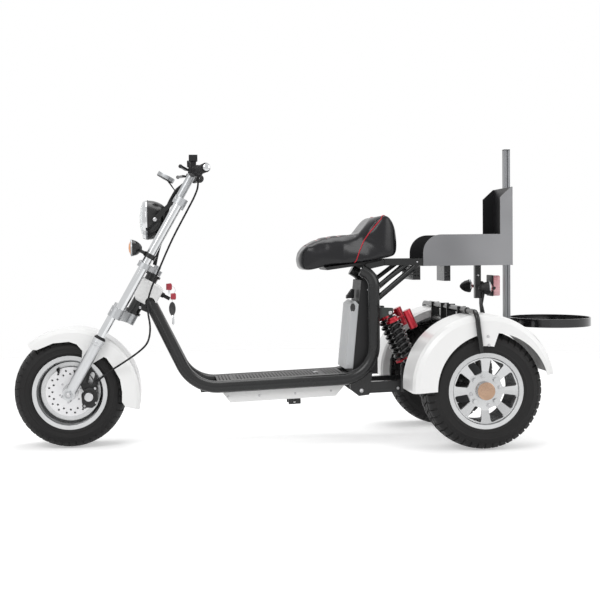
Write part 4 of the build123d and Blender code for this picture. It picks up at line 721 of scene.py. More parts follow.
tyres = {
    "front": {"node": "front_tyre", "body": "front_wheel", "centre": (0, 0, 215), "radius": 215, "half": 110,
              "seat": 98.6},
    "rearLeft": {"node": "rear_tyre_left", "body": "rear_wheel_left", "centre": (1532, -336, 222), "radius": 222,
                 "half": 97, "seat": 82.6},
    "rearRight": {"node": "rear_tyre_right", "body": "rear_wheel_right", "centre": (1532, 336, 222), "radius": 222,
                  "half": 97, "seat": 82.6},
    "treadDepth": 5.5,
    "pitches": 46,
    "wallRibs": 150,
    "bead": 127.5,
    "flange": 141.6,
    # one pitch's blocks on a half: corners as (share of a pitch, share of the half width), and their sections
    "blocks": [
        ([(0.04, 0.02), (0.9, 0.02), (1.1, 0.15), (0.24, 0.15)], 3),
        ([(0.3, 0.2), (1.16, 0.2), (1.55, 0.47), (0.69, 0.47)], 3),
        ([(0.72, 0.53), (1.56, 0.53), (1.6, 0.93), (0.78, 0.93)], 6),
    ],
}


def crownRadius(tyre, side):
    # outer radius of the tread at this share of the half width
    side = abs(side)
    if side < 0.6:
        return tyre["radius"] - 5 * (side / 0.6) ** 2
    share = (side - 0.6) / 0.36
    return tyre["radius"] - 5 - 24 * share ** 2.1


def tyreProfile(tyre):
    # carcass under the blocks: crown, shoulder, bulged wall with raised rings, bead
    half, radius, flange = tyre["half"], tyre["radius"], tyres["flange"]
    crown = [step / 24 * 0.95 for step in range(25)]
    profile = [(crownRadius(tyre, share) - tyres["treadDepth"], share * half) for share in crown]
    profile += [(radius - drop, half * share) for drop, share in (
        (36, 0.965), (42, 0.985), (44, 0.999), (46.5, 0.999), (48, 0.988), (54, 0.985))]
    profile += [(reach, half * share) for reach, share in (
        (155, 0.975), (153, 0.985), (150, 0.985), (148.5, 0.965), (145, 0.955), (flange + 0.6, 0.93))]
    profile += [(flange, tyre["seat"]), (tyres["bead"], tyre["seat"])]
    return [(r, -y) for r, y in reversed(profile[1:])] + profile


def treadBlock(shape, tyre, corners, sections):
    # one block between its corners, raised from the carcass to the crown
    pitch = math.tau / tyres["pitches"]
    depth = tyres["treadDepth"] + 1
    (a0, s0), (a1, s1), (a2, s2), (a3, s3) = corners
    middleTurn = sum(a for a, _ in corners) / 4 * pitch
    middleSide = sum(s for _, s in corners) / 4

    def point(turn, side, drop):
        radius = crownRadius(tyre, side) - drop
        return shape.verts.new((radius * math.cos(turn) / 1000, radius * math.sin(turn) / 1000,
                                side * tyre["half"] / 1000))

    tops, feet = [], []
    for share in [step / sections for step in range(sections + 1)]:
        pair = [((a0 + (a3 - a0) * share) * pitch, s0 + (s3 - s0) * share),
                ((a1 + (a2 - a1) * share) * pitch, s1 + (s2 - s1) * share)]
        tops.append([point(middleTurn + (turn - middleTurn) * 0.9, middleSide + (side - middleSide) * 0.95, 0)
                     for turn, side in pair])
        feet.append([point(turn, side, depth) for turn, side in pair])
    for top, nextTop, foot, nextFoot in zip(tops, tops[1:], feet, feet[1:]):
        shape.faces.new((top[0], top[1], nextTop[1], nextTop[0]))
        shape.faces.new((foot[0], top[0], nextTop[0], nextFoot[0]))
        shape.faces.new((foot[1], nextFoot[1], nextTop[1], top[1]))
        shape.faces.new((foot[0], nextFoot[0], nextFoot[1], foot[1]))
    shape.faces.new((feet[0][0], feet[0][1], tops[0][1], tops[0][0]))
    shape.faces.new((feet[-1][0], tops[-1][0], tops[-1][1], feet[-1][1]))


def makeTyre(key):
    tyre = tyres[key]
    place = aimed(at(*tyre["centre"]), (0, 1, 0))
    carcass = lathe(key + "Carcass", tyreProfile(tyre), 144, place, closed=True, angle=50)
    shape = bmesh.new()
    for flip, shift in ((-1, 0.0), (1, 0.25)):
        for corners, sections in tyres["blocks"]:
            treadBlock(shape, tyre, [(turn + shift, side * flip) for turn, side in corners], sections)
    blocks = grow(key + "Blocks", bpy.data.meshes.new(key + "Seed"), ringTree, "tyreRubber",
                  {"Count": tyres["pitches"]}, closeShape(shape, key + "Pitch", 25), place, 25)
    onWall = Matrix.Translation(((tyre["radius"] - 41) / 1000, 0, tyre["half"] * 0.981 / 1000))
    ribs = grow(key + "WallRibs", bpy.data.meshes.new(key + "SeedB"), ringTree, "tyreRubber",
                {"Count": tyres["wallRibs"]}, roundBox(key + "Rib", (2.2, 1.4, 1.0), onWall, 0.3, 1), place)
    piece = addJoined(key + "TreadedTyre", [carcass, blocks, ribs], tyre["body"], "tyreRubber")
    piece.data.set_sharp_from_angle(angle=math.radians(28))
    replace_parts(piece, tyre["node"])


for key in ("front", "rearLeft", "rearRight"):
    makeTyre(key)
print("stage: tyres")


# ---- wheels' small parts

wheelTrim = {
    "cap": [(0, 0), (31.5, 0), (33, 0.6), (33, 1.6), (31.8, 2.2), (29.5, 2.3), (28.8, 1.6), (21, 1.9), (20.4, 2.6),
            (12, 3.1), (0, 3.3)],
    "lugs": 4, "lugReach": 55, "lugTurn": 12,
    "valveReach": 108, "valveTurn": 157.5, "valveSide": 396,
    "discScrews": 6, "discReach": 42,
}


def valveMesh(place):
    return lathe("valve", [(0, -8), (6.5, -8), (6.0, 0), (4.4, 2), (3.9, 16), (4.3, 17), (4.3, 24), (3.6, 25.2),
                           (0, 25.2)], 20, place)


def makeWheelTrim():
    for side, word in ((-1, "Left"), (1, "Right")):
        rim, body = "rear_rim_" + word.lower(), "rear_wheel_" + word.lower()
        out = Vector((0, side, 0))
        addTurned("goldCap" + word, wheelTrim["cap"], 48, aimed(fromSide([rim], 1532, 222, side)[0], out), body,
                  "goldCap")
        rows = []
        for index in range(wheelTrim["lugs"]):
            turn = math.tau * (index / wheelTrim["lugs"]) + math.radians(wheelTrim["lugTurn"])
            x = 1532 + wheelTrim["lugReach"] * math.cos(turn)
            z = 222 + wheelTrim["lugReach"] * math.sin(turn)
            rows.append((fromSide([rim], x, z, side)[0], out, 0.95))
        fasten("lugNuts" + word, hexNut(), body, "screwSteel", rows)
        turn, reach = math.radians(wheelTrim["valveTurn"]), wheelTrim["valveReach"]
        stem = at(1532 + reach * math.cos(turn), side * wheelTrim["valveSide"], 222 + reach * math.sin(turn))
        lean = Vector((-math.cos(turn) * 0.35, side, -math.sin(turn) * 0.35))
        addPiece("valveStem" + word, valveMesh(aimed(stem, lean)), body, "softRubber")
    frontStem = aimed(at(-45, -72, 298), Vector((0.16, -1, -0.3)))
    addPiece("valveStemFront", valveMesh(frontStem), "front_wheel", "softRubber")
    rows = []
    for index in range(wheelTrim["discScrews"]):
        turn, reach = math.tau * index / wheelTrim["discScrews"] + 0.3, wheelTrim["discReach"]
        place, _ = fromSide(["front_disc"], reach * math.cos(turn), 215 + reach * math.sin(turn))
        rows.append((place, (0, -1, 0), 0.8))
    fasten("discScrews", socketScrew(), "front_wheel", "screwSteel", rows)


makeWheelTrim()

caliper = {
    "outline": [(46, 176), (58, 160), (84, 158), (98, 168), (106, 188), (104, 214), (94, 232), (76, 238), (56, 230),
                (44, 210)],
    "face": -129, "thickness": 15,
    "lobe": (72, 200, 25),
    "ears": [(96, 232), (56, 166)],
    "screws": [(96, -126, 232, 1.1), (56, -126, 166, 1.1), (98, -129, 178, 0.8), (50, -129, 222, 0.8)],
}


def makeCaliper():
    # the caliper's cast outline over the plain solid, its piston cap left blank, pins and bridge bolts
    near = (0, -1, 0)
    x, z, radius = caliper["lobe"]
    face, thickness = caliper["face"], caliper["thickness"]
    meshes = [plate("caliperCast", caliper["outline"], thickness, flatSide(face + thickness), bevel=4)]
    meshes.append(lathe("caliperLobe", [(0, -4), (radius, -4), (radius, 3), (radius - 2.5, 6), (18, 6.4), (17, 5),
                                        (0, 5)], 40, aimed(at(x, face, z), near)))
    for earX, earZ in caliper["ears"]:
        meshes.append(lathe("caliperEar", [(0, -20), (10, -20), (10, 0), (8.5, 2), (0, 2)], 28,
                            aimed(at(earX, -124, earZ), near)))
    addJoined("caliperBody", meshes, "steering", "blackCast")
    addTurned("caliperCap", [(0, 0), (16.5, 0), (16.5, 1.4), (15, 2.4), (13.5, 2.4), (12.8, 1.6), (0, 1.9)], 40,
              aimed(at(x, -134.2, z), near), "steering", "screwSteel")
    rows = [(at(x, y, z), near, size) for x, y, z, size in caliper["screws"]]
    fasten("caliperScrews", socketScrew(), "steering", "screwSteel", rows)


makeCaliper()
print("stage: wheel trim and caliper")


# ---- saddle: blown up over its solid, with sewn channels, piping and stitches

saddle = {
    "shrink": 0.0005,
    "voxel": 0.0055,
    "startRounds": 8,
    "pressure": 4.5,
    "cap": 0.016,
    "frames": 20,
    "settleRounds": 9,
    "channels": [(922, 0.62), (962, 0.66), (1002, 0.68), (1042, 0.7), (1082, 0.72)],
    "channelDepth": 0.0042,
    "channelWidth": 0.0065,
    "piping": [(1095, -122, 690), (1101, -137, 712), (1108, -144, 745), (1120, -144, 780), (1143, -143, 808),
               (1168, -142, 834), (1192, -138, 857), (1212, -126, 874), (1226, -104, 882), (1234, -60, 886),
               (1238, 0, 887)],
    "pipingRadius": 0.0021,
    "seamDepth": 0.0022,
    "seamWidth": 0.007,
    "stitchPitch": 0.0056,
    "stitchShift": 6.5,
}


def makeSaddle():
    source = bmesh.new()
    source.from_mesh(nodes["seat"].data)
    bmesh.ops.remove_doubles(source, verts=source.verts, dist=1e-5)
    bmesh.ops.recalc_face_normals(source, faces=source.faces)
    pad = putIn("saddle", meshFrom(source, "saddleStart"))
    remesh = pad.modifiers.new("voxels", "REMESH")
    remesh.mode = "VOXEL"
    remesh.voxel_size = saddle["voxel"]
    pad.data = bakeDown(pad)
    smoothDown(pad.data, saddle["startRounds"], saddle["shrink"])
    swell(pad)
    soften = pad.modifiers.new("soften", "SUBSURF")
    soften.levels = soften.render_levels = 1
    pad.data = bakeDown(pad)
    sewChannels(pad.data)
    finishMesh(pad.data, 180)
    pad.data.materials.clear()
    pad.data.materials.append(materials["saddleVinyl"])
    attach(pad, "frame")
    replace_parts(pad, "seat")
    skin = bvhOf(pad.data)
    makePiping(skin)
    makeStitches(skin)


def makePiping(skin):
    route = [at(*place) for place in saddle["piping"]]
    route += [at(x, -y, z) for x, y, z in reversed(saddle["piping"][:-1])]
    line = smoothRoute("pipingLine", route)
    for vertex in line.vertices:
        place, normal = skin.find_nearest(vertex.co)[:2]
        vertex.co = place + normal * 0.0011
    piping = tube("saddlePiping", line, "redPiping", saddle["pipingRadius"], 0.0001, 0.0012, 0.002, 10)
    addPiece("saddlePiping", piping, "frame", "redPiping")


def makeStitches(skin):
    # a row of stitches on each side of every channel
    points, edges = [], []
    for x, width in saddle["channels"]:
        for shift in (-saddle["stitchShift"], saddle["stitchShift"]):
            first = len(points)
            for step in range(-12, 13):
                hit = skin.ray_cast(at(x + shift, 92 * width * step / 12, 960), Vector((0, 0, -1)))
                if hit[0] is not None:
                    points.append(tuple(hit[0] + hit[1] * 0.0002))
            edges += [(index, index + 1) for index in range(first, len(points) - 1)]
    seams = bpy.data.meshes.new("seamLines")
    seams.from_pydata(points, edges, [])
    stitch = roundBox("stitch", (1.0, 0.9, 3.4), Matrix.Identity(4), 0.35, 2)
    stitches = grow("saddleStitches", seams, stitchTree, "redPiping", {"Spacing": saddle["stitchPitch"]}, stitch,
                    angle=40)
    addPiece("saddleStitches", stitches, "frame", "redPiping")


def smoothDown(mesh, rounds, shrink=0.0):
    shape = bmesh.new()
    shape.from_mesh(mesh)
    for _ in range(rounds):
        bmesh.ops.smooth_vert(shape, verts=shape.verts, factor=0.5, use_axis_x=True, use_axis_y=True,
                              use_axis_z=True)
    shape.normal_update()
    for vertex in shape.verts:
        vertex.co -= vertex.normal * shrink
    shape.to_mesh(mesh)
    shape.free()


def bakeDown(piece):
    made = evaluatedMesh(piece)
    piece.modifiers.clear()
    return made


def swell(pad):
    # a short cloth run with air pressure; its underside is held, and no point may move further than the cap
    before = [vertex.co.copy() for vertex in pad.data.vertices]
    held = pad.vertex_groups.new(name="underside")
    held.add([v.index for v in pad.data.vertices if v.normal.z < -0.75], 1.0, "REPLACE")
    cloth = pad.modifiers.new("air", "CLOTH")
    cloth.settings.use_pressure = True
    cloth.settings.uniform_pressure_force = saddle["pressure"]
    cloth.settings.effector_weights.gravity = 0
    cloth.settings.vertex_group_mass = "underside"
    cloth.settings.quality = 4
    cloth.point_cache.frame_end = saddle["frames"] + 1
    for number in range(1, saddle["frames"] + 1):
        bpy.context.scene.frame_set(number)
    after = bakeDown(pad)
    for vertex, start in zip(after.vertices, before):
        move = vertex.co - start
        if move.length > saddle["cap"]:
            vertex.co = start + move.normalized() * saddle["cap"]
    pad.data = after
    smoothDown(pad.data, saddle["settleRounds"])
    pad.vertex_groups.clear()
    bpy.context.scene.frame_set(1)
    print("stage: saddle blown up,", len(after.vertices), "points")


def sewChannels(mesh):
    # presses the sewn channels and the piping's seam into the vinyl
    seam = [at(*place) for place in saddle["piping"]]
    normals = [vertex.normal.copy() for vertex in mesh.vertices]
    places = [vertex.co.copy() for vertex in mesh.vertices]
    moved = []
    for place, normal in zip(places, normals):
        x = (place.x + originX) * 1000
        y = abs(place.y) * 1000
        push = 0
        if normal.z > 0.25 and x < 1110:
            for channel, width in saddle["channels"]:
                fade = min(1, max(0, (96 * width - y) / 12))
                share = (x - channel) / 1000 / saddle["channelWidth"]
                push += saddle["channelDepth"] * math.exp(-share ** 2) * fade
        if x > 1095:
            flat = Vector((place.x, -abs(place.y), place.z))
            near = min(distanceTo(flat, first, second) for first, second in zip(seam, seam[1:]))
            push += saddle["seamDepth"] * math.exp(-(near / saddle["seamWidth"]) ** 2)
        moved += list(place - normal * push)
    mesh.vertices.foreach_set("co", moved)
    mesh.update()


def distanceTo(place, first, second):
    run = second - first
    share = max(0, min(1, (place - first).dot(run) / run.length_squared))
    return (place - first - run * share).length


makeSaddle()
print("stage: saddle")


# ---- looms and brake hose, held by the fork all the way

routes = {
    # across, side, along on the fork
    "loom": [(-4, 71, 905), (-17.5, 69, 876), (-19.1, 68, 856), (-19.2, 67.6, 808), (-8, 67, 772), (12, 64, 720),
             (24, 58, 660), (36, 54, 610), (46, 50, 580)],
    "hose": [(26, -145, 952), (46, -142, 926), (53, -138, 880), (54, -134, 830), (55, -128, 780), (56, -120, 720),
             (60, -112, 660), (66, -106, 600), (72, -107, 545), (78, -114, 492), (90, -134, 444), (112, -162, 408),
             (140, -186, 376), (158, -196, 340), (164, -194, 306), (152, -182, 268), (134, -166, 228),
             (112, -146, 184), (92, -131, 146), (78, -126, 112), (66, -124.5, 84)],
    "hoseEnd": [(0, -2), (6, -2), (6, 3), (5, 4), (5, 14), (5.6, 15), (5.6, 19), (4, 21), (0, 21)],
    "loomRadius": 0.0074, "loomRib": 0.0007, "loomPitch": 0.0042,
    "hoseRadius": 0.0036, "hoseRib": 0.00012, "hosePitch": 0.0016,
}


def makeLooms():
    meshes = []
    for side in (-1, 1):
        line = smoothRoute("loomLine", [onFork(across, side * y, along) for across, y, along in routes["loom"]])
        meshes.append(tube("loomTube", line, "softRubber", routes["loomRadius"], routes["loomRib"],
                           routes["loomPitch"], 0.0007, 16))
    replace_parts(addJoined("ribbedLooms", meshes, "steering", "softRubber"), "looms")
    places = [onFork(*place) for place in routes["hose"]]
    meshes = [tube("brakeHoseTube", smoothRoute("hoseLine", places), "softRubber", routes["hoseRadius"],
                   routes["hoseRib"], routes["hosePitch"], 0.003, 16)]
    for start, after in ((places[-1], places[-2]), (places[0], places[1])):
        meshes.append(lathe("hoseEnd", routes["hoseEnd"], 20, aimed(start, after - start),
                            radiusAt=lambda row, radius, turn: hexRadius(turn, radius) if row in (1, 2) else radius))
    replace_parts(addJoined("brakeHoseLine", meshes, "steering", "softRubber"), "brake_hose")


makeLooms()


# ---- pole: an extruded section with its slots

pole = {"sizeY": 30, "slotMouth": 4.2, "slotDepth": 5.5, "slotBack": 8.5, "lip": 1.8, "groove": 0.7}


def makePole():
    # slots in the near and far faces, and a fine groove on each side of them
    low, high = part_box("bag_pole")
    lowX, highX = (low.x + originX) * 1000, (high.x + originX) * 1000
    lowZ, highZ = low.z * 1000, high.z * 1000
    halfX, halfY = (highX - lowX) / 2, pole["sizeY"] / 2
    mouth, back = pole["slotMouth"] / 2, pole["slotBack"] / 2
    lip, depth, groove = -halfY + pole["lip"], -halfY + pole["slotDepth"], -halfY + pole["groove"]
    side = [(-halfX + 1, -halfY), (-8.2, -halfY), (-7.9, groove), (-7.3, groove), (-7.0, -halfY), (-mouth, -halfY),
            (-mouth, lip), (-back, lip), (-back, depth), (back, depth), (back, lip), (mouth, lip), (mouth, -halfY),
            (7.0, -halfY), (7.3, groove), (7.9, groove), (8.2, -halfY), (halfX - 1, -halfY), (halfX, -halfY + 1)]
    outline = side + [(halfX, halfY - 1)] + [(-x, -y) for x, y in side[:-1]] + [(-halfX, halfY - 1),
                                                                               (-halfX, -halfY + 1)]
    middle = (lowX + highX) / 2
    mesh = plate("slottedPole", outline, highZ - lowZ, Matrix.Translation(at(middle, 0, lowZ)), angle=20)
    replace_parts(addPiece("slottedPole", mesh, "frame", "extrudedAlloy"), "bag_pole")
    top = Matrix.Translation(at(middle, 0, highZ - 2.6))
    addPiece("poleCap", roundBox("poleCap", (halfX * 2, halfY * 2, 5), top, 1.2), "frame", "mouldedBlack")


makePole()


# ---- headlamp, dial, signals and tail lamp

lamps = {
    "head": (302, 0, 870), "headRadius": 66.5,
    "bulb": [(0, 1), (9, 1), (9, 5), (7, 6), (7, 12), (8.2, 13), (8.2, 17), (6, 20.5), (0, 21.5)],
    "seam": [(76.3, -2), (77.2, -1.4), (77.2, 1.2), (76.3, 1.8), (75.4, 1.2), (75.4, -1.4)],
    "signalFront": (253.4, 145.3, 762.3), "signalFrontRadius": 31, "signalFrontDepth": 46,
    "signalRear": (1604, 150, 594), "signalRearRadius": 26, "signalRearDepth": 52,
    "tailRibs": 11, "tailRibPitch": 0.0069,
}


def waved(rows, share, waves):
    # a wavy radius on these rows of a turned shape
    return lambda row, radius, turn: radius * (1 + share * math.sin(turn * waves)) if row in rows else radius


def makeHeadlamp():
    place = aimed(at(*lamps["head"]), (-1, 0, 0))
    radius = lamps["headRadius"]
    inner, middle = radius * 0.35, radius * 0.7
    glass = [(0, 30.5), (inner, 29.9), (middle, 26.4), (radius, 19.2), (radius, 16.8), (middle, 24.2),
             (inner, 27.6), (0, 28.2)]
    piece = addTurned("headlampGlass", glass, 96, place, "steering", "clearLens", angle=50)
    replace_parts(piece, "headlamp_lens")
    dish = [(0, 1.2), (14, 1.4), (30, 3.4), (48, 8), (60, 13.5), (radius, 16.4), (radius, 15.2), (60, 12.2),
            (48, 6.8), (30, 2.2), (14, 0.4), (0, 0.3)]
    addTurned("headlampDish", dish, 96, place, "steering", "brightChrome", angle=50,
              radiusAt=waved((2, 3, 4), 0.006, 24))
    addTurned("headlampBulb", lamps["bulb"], 32, place, "steering", "lampClear")
    addTurned("headlampSeam", lamps["seam"], 96, place, "steering", "mouldedBlack", closed=True)
    rows = []
    for side in (-1, 1):
        hit = castOn(["headlamp_bracket"], at(330, side * 400, 870), Vector((0, -side, 0)))
        rows.append((hit[0], (0, side, 0), 1.7))
    fasten("headlampPivots", socketScrew(), "steering", "screwSteel", rows)


def makeSignals():
    for key, towards, body, finish in (("signalFront", -1, "steering", "lampAmber"),
                                       ("signalRear", 1, "frame", "lampRed")):
        x, y, z = lamps[key]
        radius, depth = lamps[key + "Radius"], lamps[key + "Depth"]
        lens = [(0, depth * 0.5 + 1.2), (radius * 0.5, depth * 0.45 + 1.3), (radius * 0.86, depth * 0.32 + 1.2),
                (radius * 0.93, depth * 0.32 - 0.4), (0, depth * 0.32 - 0.4)]
        rim = [(radius * 0.93, depth * 0.33), (radius * 1.0, depth * 0.335), (radius * 1.03, depth * 0.3),
               (radius * 1.03, depth * 0.22), (radius * 0.99, depth * 0.2), (radius * 0.93, depth * 0.25)]
        places = [aimed(at(x, side * y, z), (towards, 0, 0)) for side in (-1, 1)]
        lenses = [lathe(key + "Lens", lens, 48, place, angle=60, radiusAt=waved((1, 2), 0.008, 20))
                  for place in places]
        rims = [lathe(key + "Rim", rim, 48, place, closed=True) for place in places]
        addJoined(key + "Lenses", lenses, body, finish)
        addJoined(key + "Rims", rims, body, "castAlloy")


def makeTailLamp():
    # black back shell, and a ribbed red lens
    low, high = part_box("tail_lamp")
    centre = (low + high) / 2
    size = (high - low) * 1000
    behind = Matrix.Translation(Vector((low.x + size.x * 0.08 / 1000, centre.y, centre.z)))
    shell = roundBox("tailShell", (size.x * 0.16, size.y, size.z), behind, 2.4)
    addPiece("tailShell", shell, "frame", "mouldedBlack")
    before = Matrix.Translation(Vector((high.x - size.x * 0.43 / 1000, centre.y, centre.z)))
    red = roundBox("tailLens", (size.x * 0.84, size.y - 3, size.z - 3), before, 5)
    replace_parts(addPiece("tailLens", red, "frame", "tailBands"), "tail_lamp")
    rows = []
    for index in range(lamps["tailRibs"]):
        height = low.z + 0.009 + index * lamps["tailRibPitch"]
        rows.append((Vector((high.x - 0.0034, centre.y, height)), (0, 0, 1), 1.0))
    rib = roundBox("tailRib", (1.6, size.y - 10, 1.6), Matrix.Identity(4), 0.6, 2)
    fasten("tailRibs", rib, "frame", "tailBands", rows)


dial = {
    "across": -80, "along": 905,
    "bezel": [(34.4, -14), (35.2, -12), (35.2, 0.5), (33.6, 2.2), (31.4, 2.2), (30.6, 0.6), (30.6, -0.2),
              (34.4, -0.2)],
    "face": [(0, 0.25), (30.6, 0.25), (30.6, -0.4), (0, -0.4)],
    "hub": [(0, 0), (3, 0), (3, 1.5), (2.2, 2), (0, 2)],
    "needle": [(-6, -0.9), (22, -0.35), (22, 0.35), (-6, 0.9)],
    "numbers": ("0", "10", "20", "30", "40", "50", "60"), "numberSize": 0.0062, "numberReach": 0.0195,
    "start": 225, "numberStep": 45,
    "ticks": 25, "tickStep": 11.25, "tickReach": 29.2,
    "print": 0.00045,
}


def makeNumber(words, place):
    text = bpy.data.curves.new("dialNumber", "FONT")
    text.body = words
    text.size = dial["numberSize"]
    text.align_x, text.align_y = "CENTER", "CENTER"
    text.extrude = 0.0001
    holder = putIn("dialNumber", text)
    number = evaluatedMesh(holder)
    bpy.data.objects.remove(holder)
    number.transform(place @ Matrix.Rotation(math.radians(90), 4, "Z"))
    return number


def makeDial():
    # dial face with plain numbers and ticks, a needle and its bezel
    place = aimed(onFork(dial["across"], 0, dial["along"]), onFork(-80, 0, 1000) - onFork(-80, 0, 900))
    addTurned("dialBezel", dial["bezel"], 64, place, "steering", "castAlloy", closed=True)
    addTurned("dialFace", dial["face"], 64, place, "steering", "dialFace")
    marks = []
    for index in range(dial["ticks"]):
        turn = Matrix.Rotation(math.radians(dial["start"] - index * dial["tickStep"]), 4, "Z")
        long = 4.6 if index % 4 == 0 else 2.4
        shift = Matrix.Translation(Vector(((dial["tickReach"] - long / 2) / 1000, 0, dial["print"])))
        marks.append(roundBox("dialTick", (long, 0.55, 0.25), place @ (turn @ shift), 0.08, 1))
    for index, words in enumerate(dial["numbers"]):
        turn, reach = math.radians(dial["start"] - index * dial["numberStep"]), dial["numberReach"]
        spot = Vector((reach * math.cos(turn), reach * math.sin(turn), dial["print"]))
        marks.append(makeNumber(words, place @ Matrix.Translation(spot)))
    addJoined("dialMarks", marks, "steering", "paintWhite")
    turned = place @ Matrix.Rotation(math.radians(dial["start"]), 4, "Z") @ Matrix.Translation(Vector((0, 0, 0.0008)))
    needle = plate("dialNeedle", dial["needle"], 0.5, turned)
    addJoined("dialNeedle", [needle, lathe("dialHub", dial["hub"], 24, place)], "steering", "redPlastic")


makeHeadlamp()
makeSignals()
makeTailLamp()
makeDial()
print("stage: lamps and dial")


# ---- grips, switches and bar ends

grip = {
    "from": 215, "to": 338, "localX": 4, "sweep": 34, "clamp": 142, "half": 345, "rise": 27, "localZ": 955.1,
    "ribPitch": 4.6, "buttonSide": 195, "buttonReach": 0.0205,
    "barEnd": [(0, -1), (11.5, -1), (13.2, 0.5), (13.2, 9), (12.4, 11), (10, 12.6), (5, 13.4), (0, 13.6)],
}


def barPlace(side):
    share = (abs(side) - grip["clamp"]) / (grip["half"] - grip["clamp"])
    return onFork(grip["localX"] + grip["sweep"] * share, side, grip["localZ"] + grip["rise"] * share)


def gripProfile(length):
    profile = [(11.3, 0), (21, 0), (22, 1), (22, 4), (21, 5), (17, 6)]
    along = 9.0
    while along < length - 8:
        profile += [(16.1, along), (17.1, along + 0.7), (17.1, along + 2.6), (16.1, along + 3.3)]
        along += grip["ribPitch"]
    return profile + [(16.6, length - 4), (17.6, length - 3), (17.6, length - 1), (16.4, length), (11.3, length)]


def makeGrips():
    grips, ends, switches, reds = [], [], [], []
    for side in (-1, 1):
        start, stop = barPlace(side * grip["from"]), barPlace(side * grip["to"])
        profile = gripProfile((stop - start).length * 1000)
        grips.append(lathe("gripRubber", profile, 32, aimed(start, stop - start), closed=True, angle=40))
        ends.append(lathe("barEnd", grip["barEnd"], 32, aimed(barPlace(side * grip["half"]), stop - start)))
        out = (stop - start).normalized()
        rear = onFork(10, 0, 0) - onFork(0, 0, 0)
        rise = onFork(0, 0, 10) - onFork(0, 0, 0)
        for shift, lift, row in ((-9, 0.35, switches), (2, 0.05, reds), (11, 0.4, switches)):
            direction = rear.normalized() + rise.normalized() * lift
            spot = barPlace(side * grip["buttonSide"]) + out * (shift / 1000)
            spot = spot + direction.normalized() * grip["buttonReach"]
            row.append(roundBox("switchButton", (6.5, 7.5, 5), aimed(spot, direction), 1.4))
    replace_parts(addJoined("ribbedGrips", grips, "steering", "softRubber"), "grips")
    addJoined("barEnds", ends, "steering", "brightChrome")
    addJoined("switchButtons", switches, "steering", "mouldedGrey")
    addJoined("redButtons", reds, "steering", "redPlastic")


makeGrips()
print("stage: grips and switches")


# ---- screws, nuts and bolts on the frame and the fork

screwTable = {
    # nodes to sit on, x, z and size, on both sides
    "frame": [
        (["belly_pan"], 600, 186, 0.9), (["belly_pan"], 720, 188, 0.9), (["belly_pan"], 860, 193, 0.9),
        (["belly_pan"], 1000, 200, 0.9), (["rear_fenders"], 1535, 425, 1.15), (["rear_fenders"], 1538, 393, 1.15),
        (["shock_mounts", "main_frame"], 1235, 500, 1.8), (["shock_mounts"], 1337, 268, 1.6),
        (["main_frame", "rear_carrier"], 1118, 200, 1.9), (["rear_carrier"], 1264, 205, 1.2),
        (["rear_carrier"], 1306, 205, 1.2), (["main_frame", "neck_cover"], 268, 532, 1.3),
        (["bag_rack"], 1340, 697, 0.7), (["pillar_box"], 1150, 300, 0.9), (["pillar_box"], 1150, 590, 0.9),
        (["pillar_panel"], 1070, 300, 0.8), (["pillar_panel"], 1090, 505, 0.8), (["bag_rack"], 1612, 640, 1.0),
    ],
    "steering": [(["front_axle"], 0, 215, 1.9)],
    # across, along on the fork
    "clamps": [(-14, 352), (-8, 566), (-8, 838)],
    # sides on the axle housing
    "nuts": [-120, 120, -200, 200],
}


def makeScrews():
    for body in ("frame", "steering"):
        rows = []
        for names, x, z, size in screwTable[body]:
            for side in (-1, 1):
                rows.append((*fromSide(names, x, z, side), size))
        fasten(body + "Screws", socketScrew(), body, "screwSteel", rows)
    rows = []
    for across, along in screwTable["clamps"]:
        for side in (-1, 1):
            start = onFork(across, side * 400, along)
            rows.append((*castOn(["lower_yoke", "upper_yokes"], start, Vector((0, -side, 0))), 1.1))
    fasten("clampScrews", socketScrew(), "steering", "screwSteel", rows)
    down = Vector((0, 0, -1))
    rows = [(*castOn(["rear_carrier"], at(1532, y, 600), down), 0.8) for y in screwTable["nuts"]]
    fasten("axleNuts", hexNut(), "frame", "screwSteel", rows)


fork = {
    "side": 145.3, "sealAlong": 236, "ringLifts": (-16.5, -29),
    "seal": [(16.6, 0), (22.4, 0), (22.9, 1), (22.9, 4), (21.4, 5.5), (18.6, 7), (17.6, 10), (16.6, 10.4)],
}


def makeSeals():
    # dust seals and bright rings where the fork tubes enter the sliders
    seals, rings = [], []
    for side in (-1, 1):
        up = onFork(0, 0, 10) - onFork(0, 0, 0)
        place = aimed(onFork(0, side * fork["side"], fork["sealAlong"]), up)
        seals.append(lathe("dustSeal", fork["seal"], 40, place, closed=True))
        for lift in fork["ringLifts"]:
            ring = [(21.05, lift), (22.4, lift + 0.5), (22.4, lift + 2.6), (21.05, lift + 3.1)]
            rings.append(lathe("sliderRing", ring, 40, place, closed=True))
    addJoined("dustSeals", seals, "steering", "softRubber")
    addJoined("sliderRings", rings, "steering", "brightChrome")


def makePosts():
    # short black posts on the swing arms
    outline = [(1275, 190), (1295, 190), (1295, 300), (1290, 305), (1280, 305), (1275, 300)]
    posts = []
    for side in (-1, 1):
        place, _ = fromSide(["rear_carrier"], 1285, 205, side)
        start = place.y * 1000 + (5 if side > 0 else 0)
        posts.append(plate("armPost", outline, 5, flatSide(start), bevel=1))
    addJoined("armPosts", posts, "frame", "blackEnamel")


makeScrews()
makeSeals()
makePosts()
print("stage: screws, seals and posts")


# ---- deck ribs and latch, pillar parts, keys

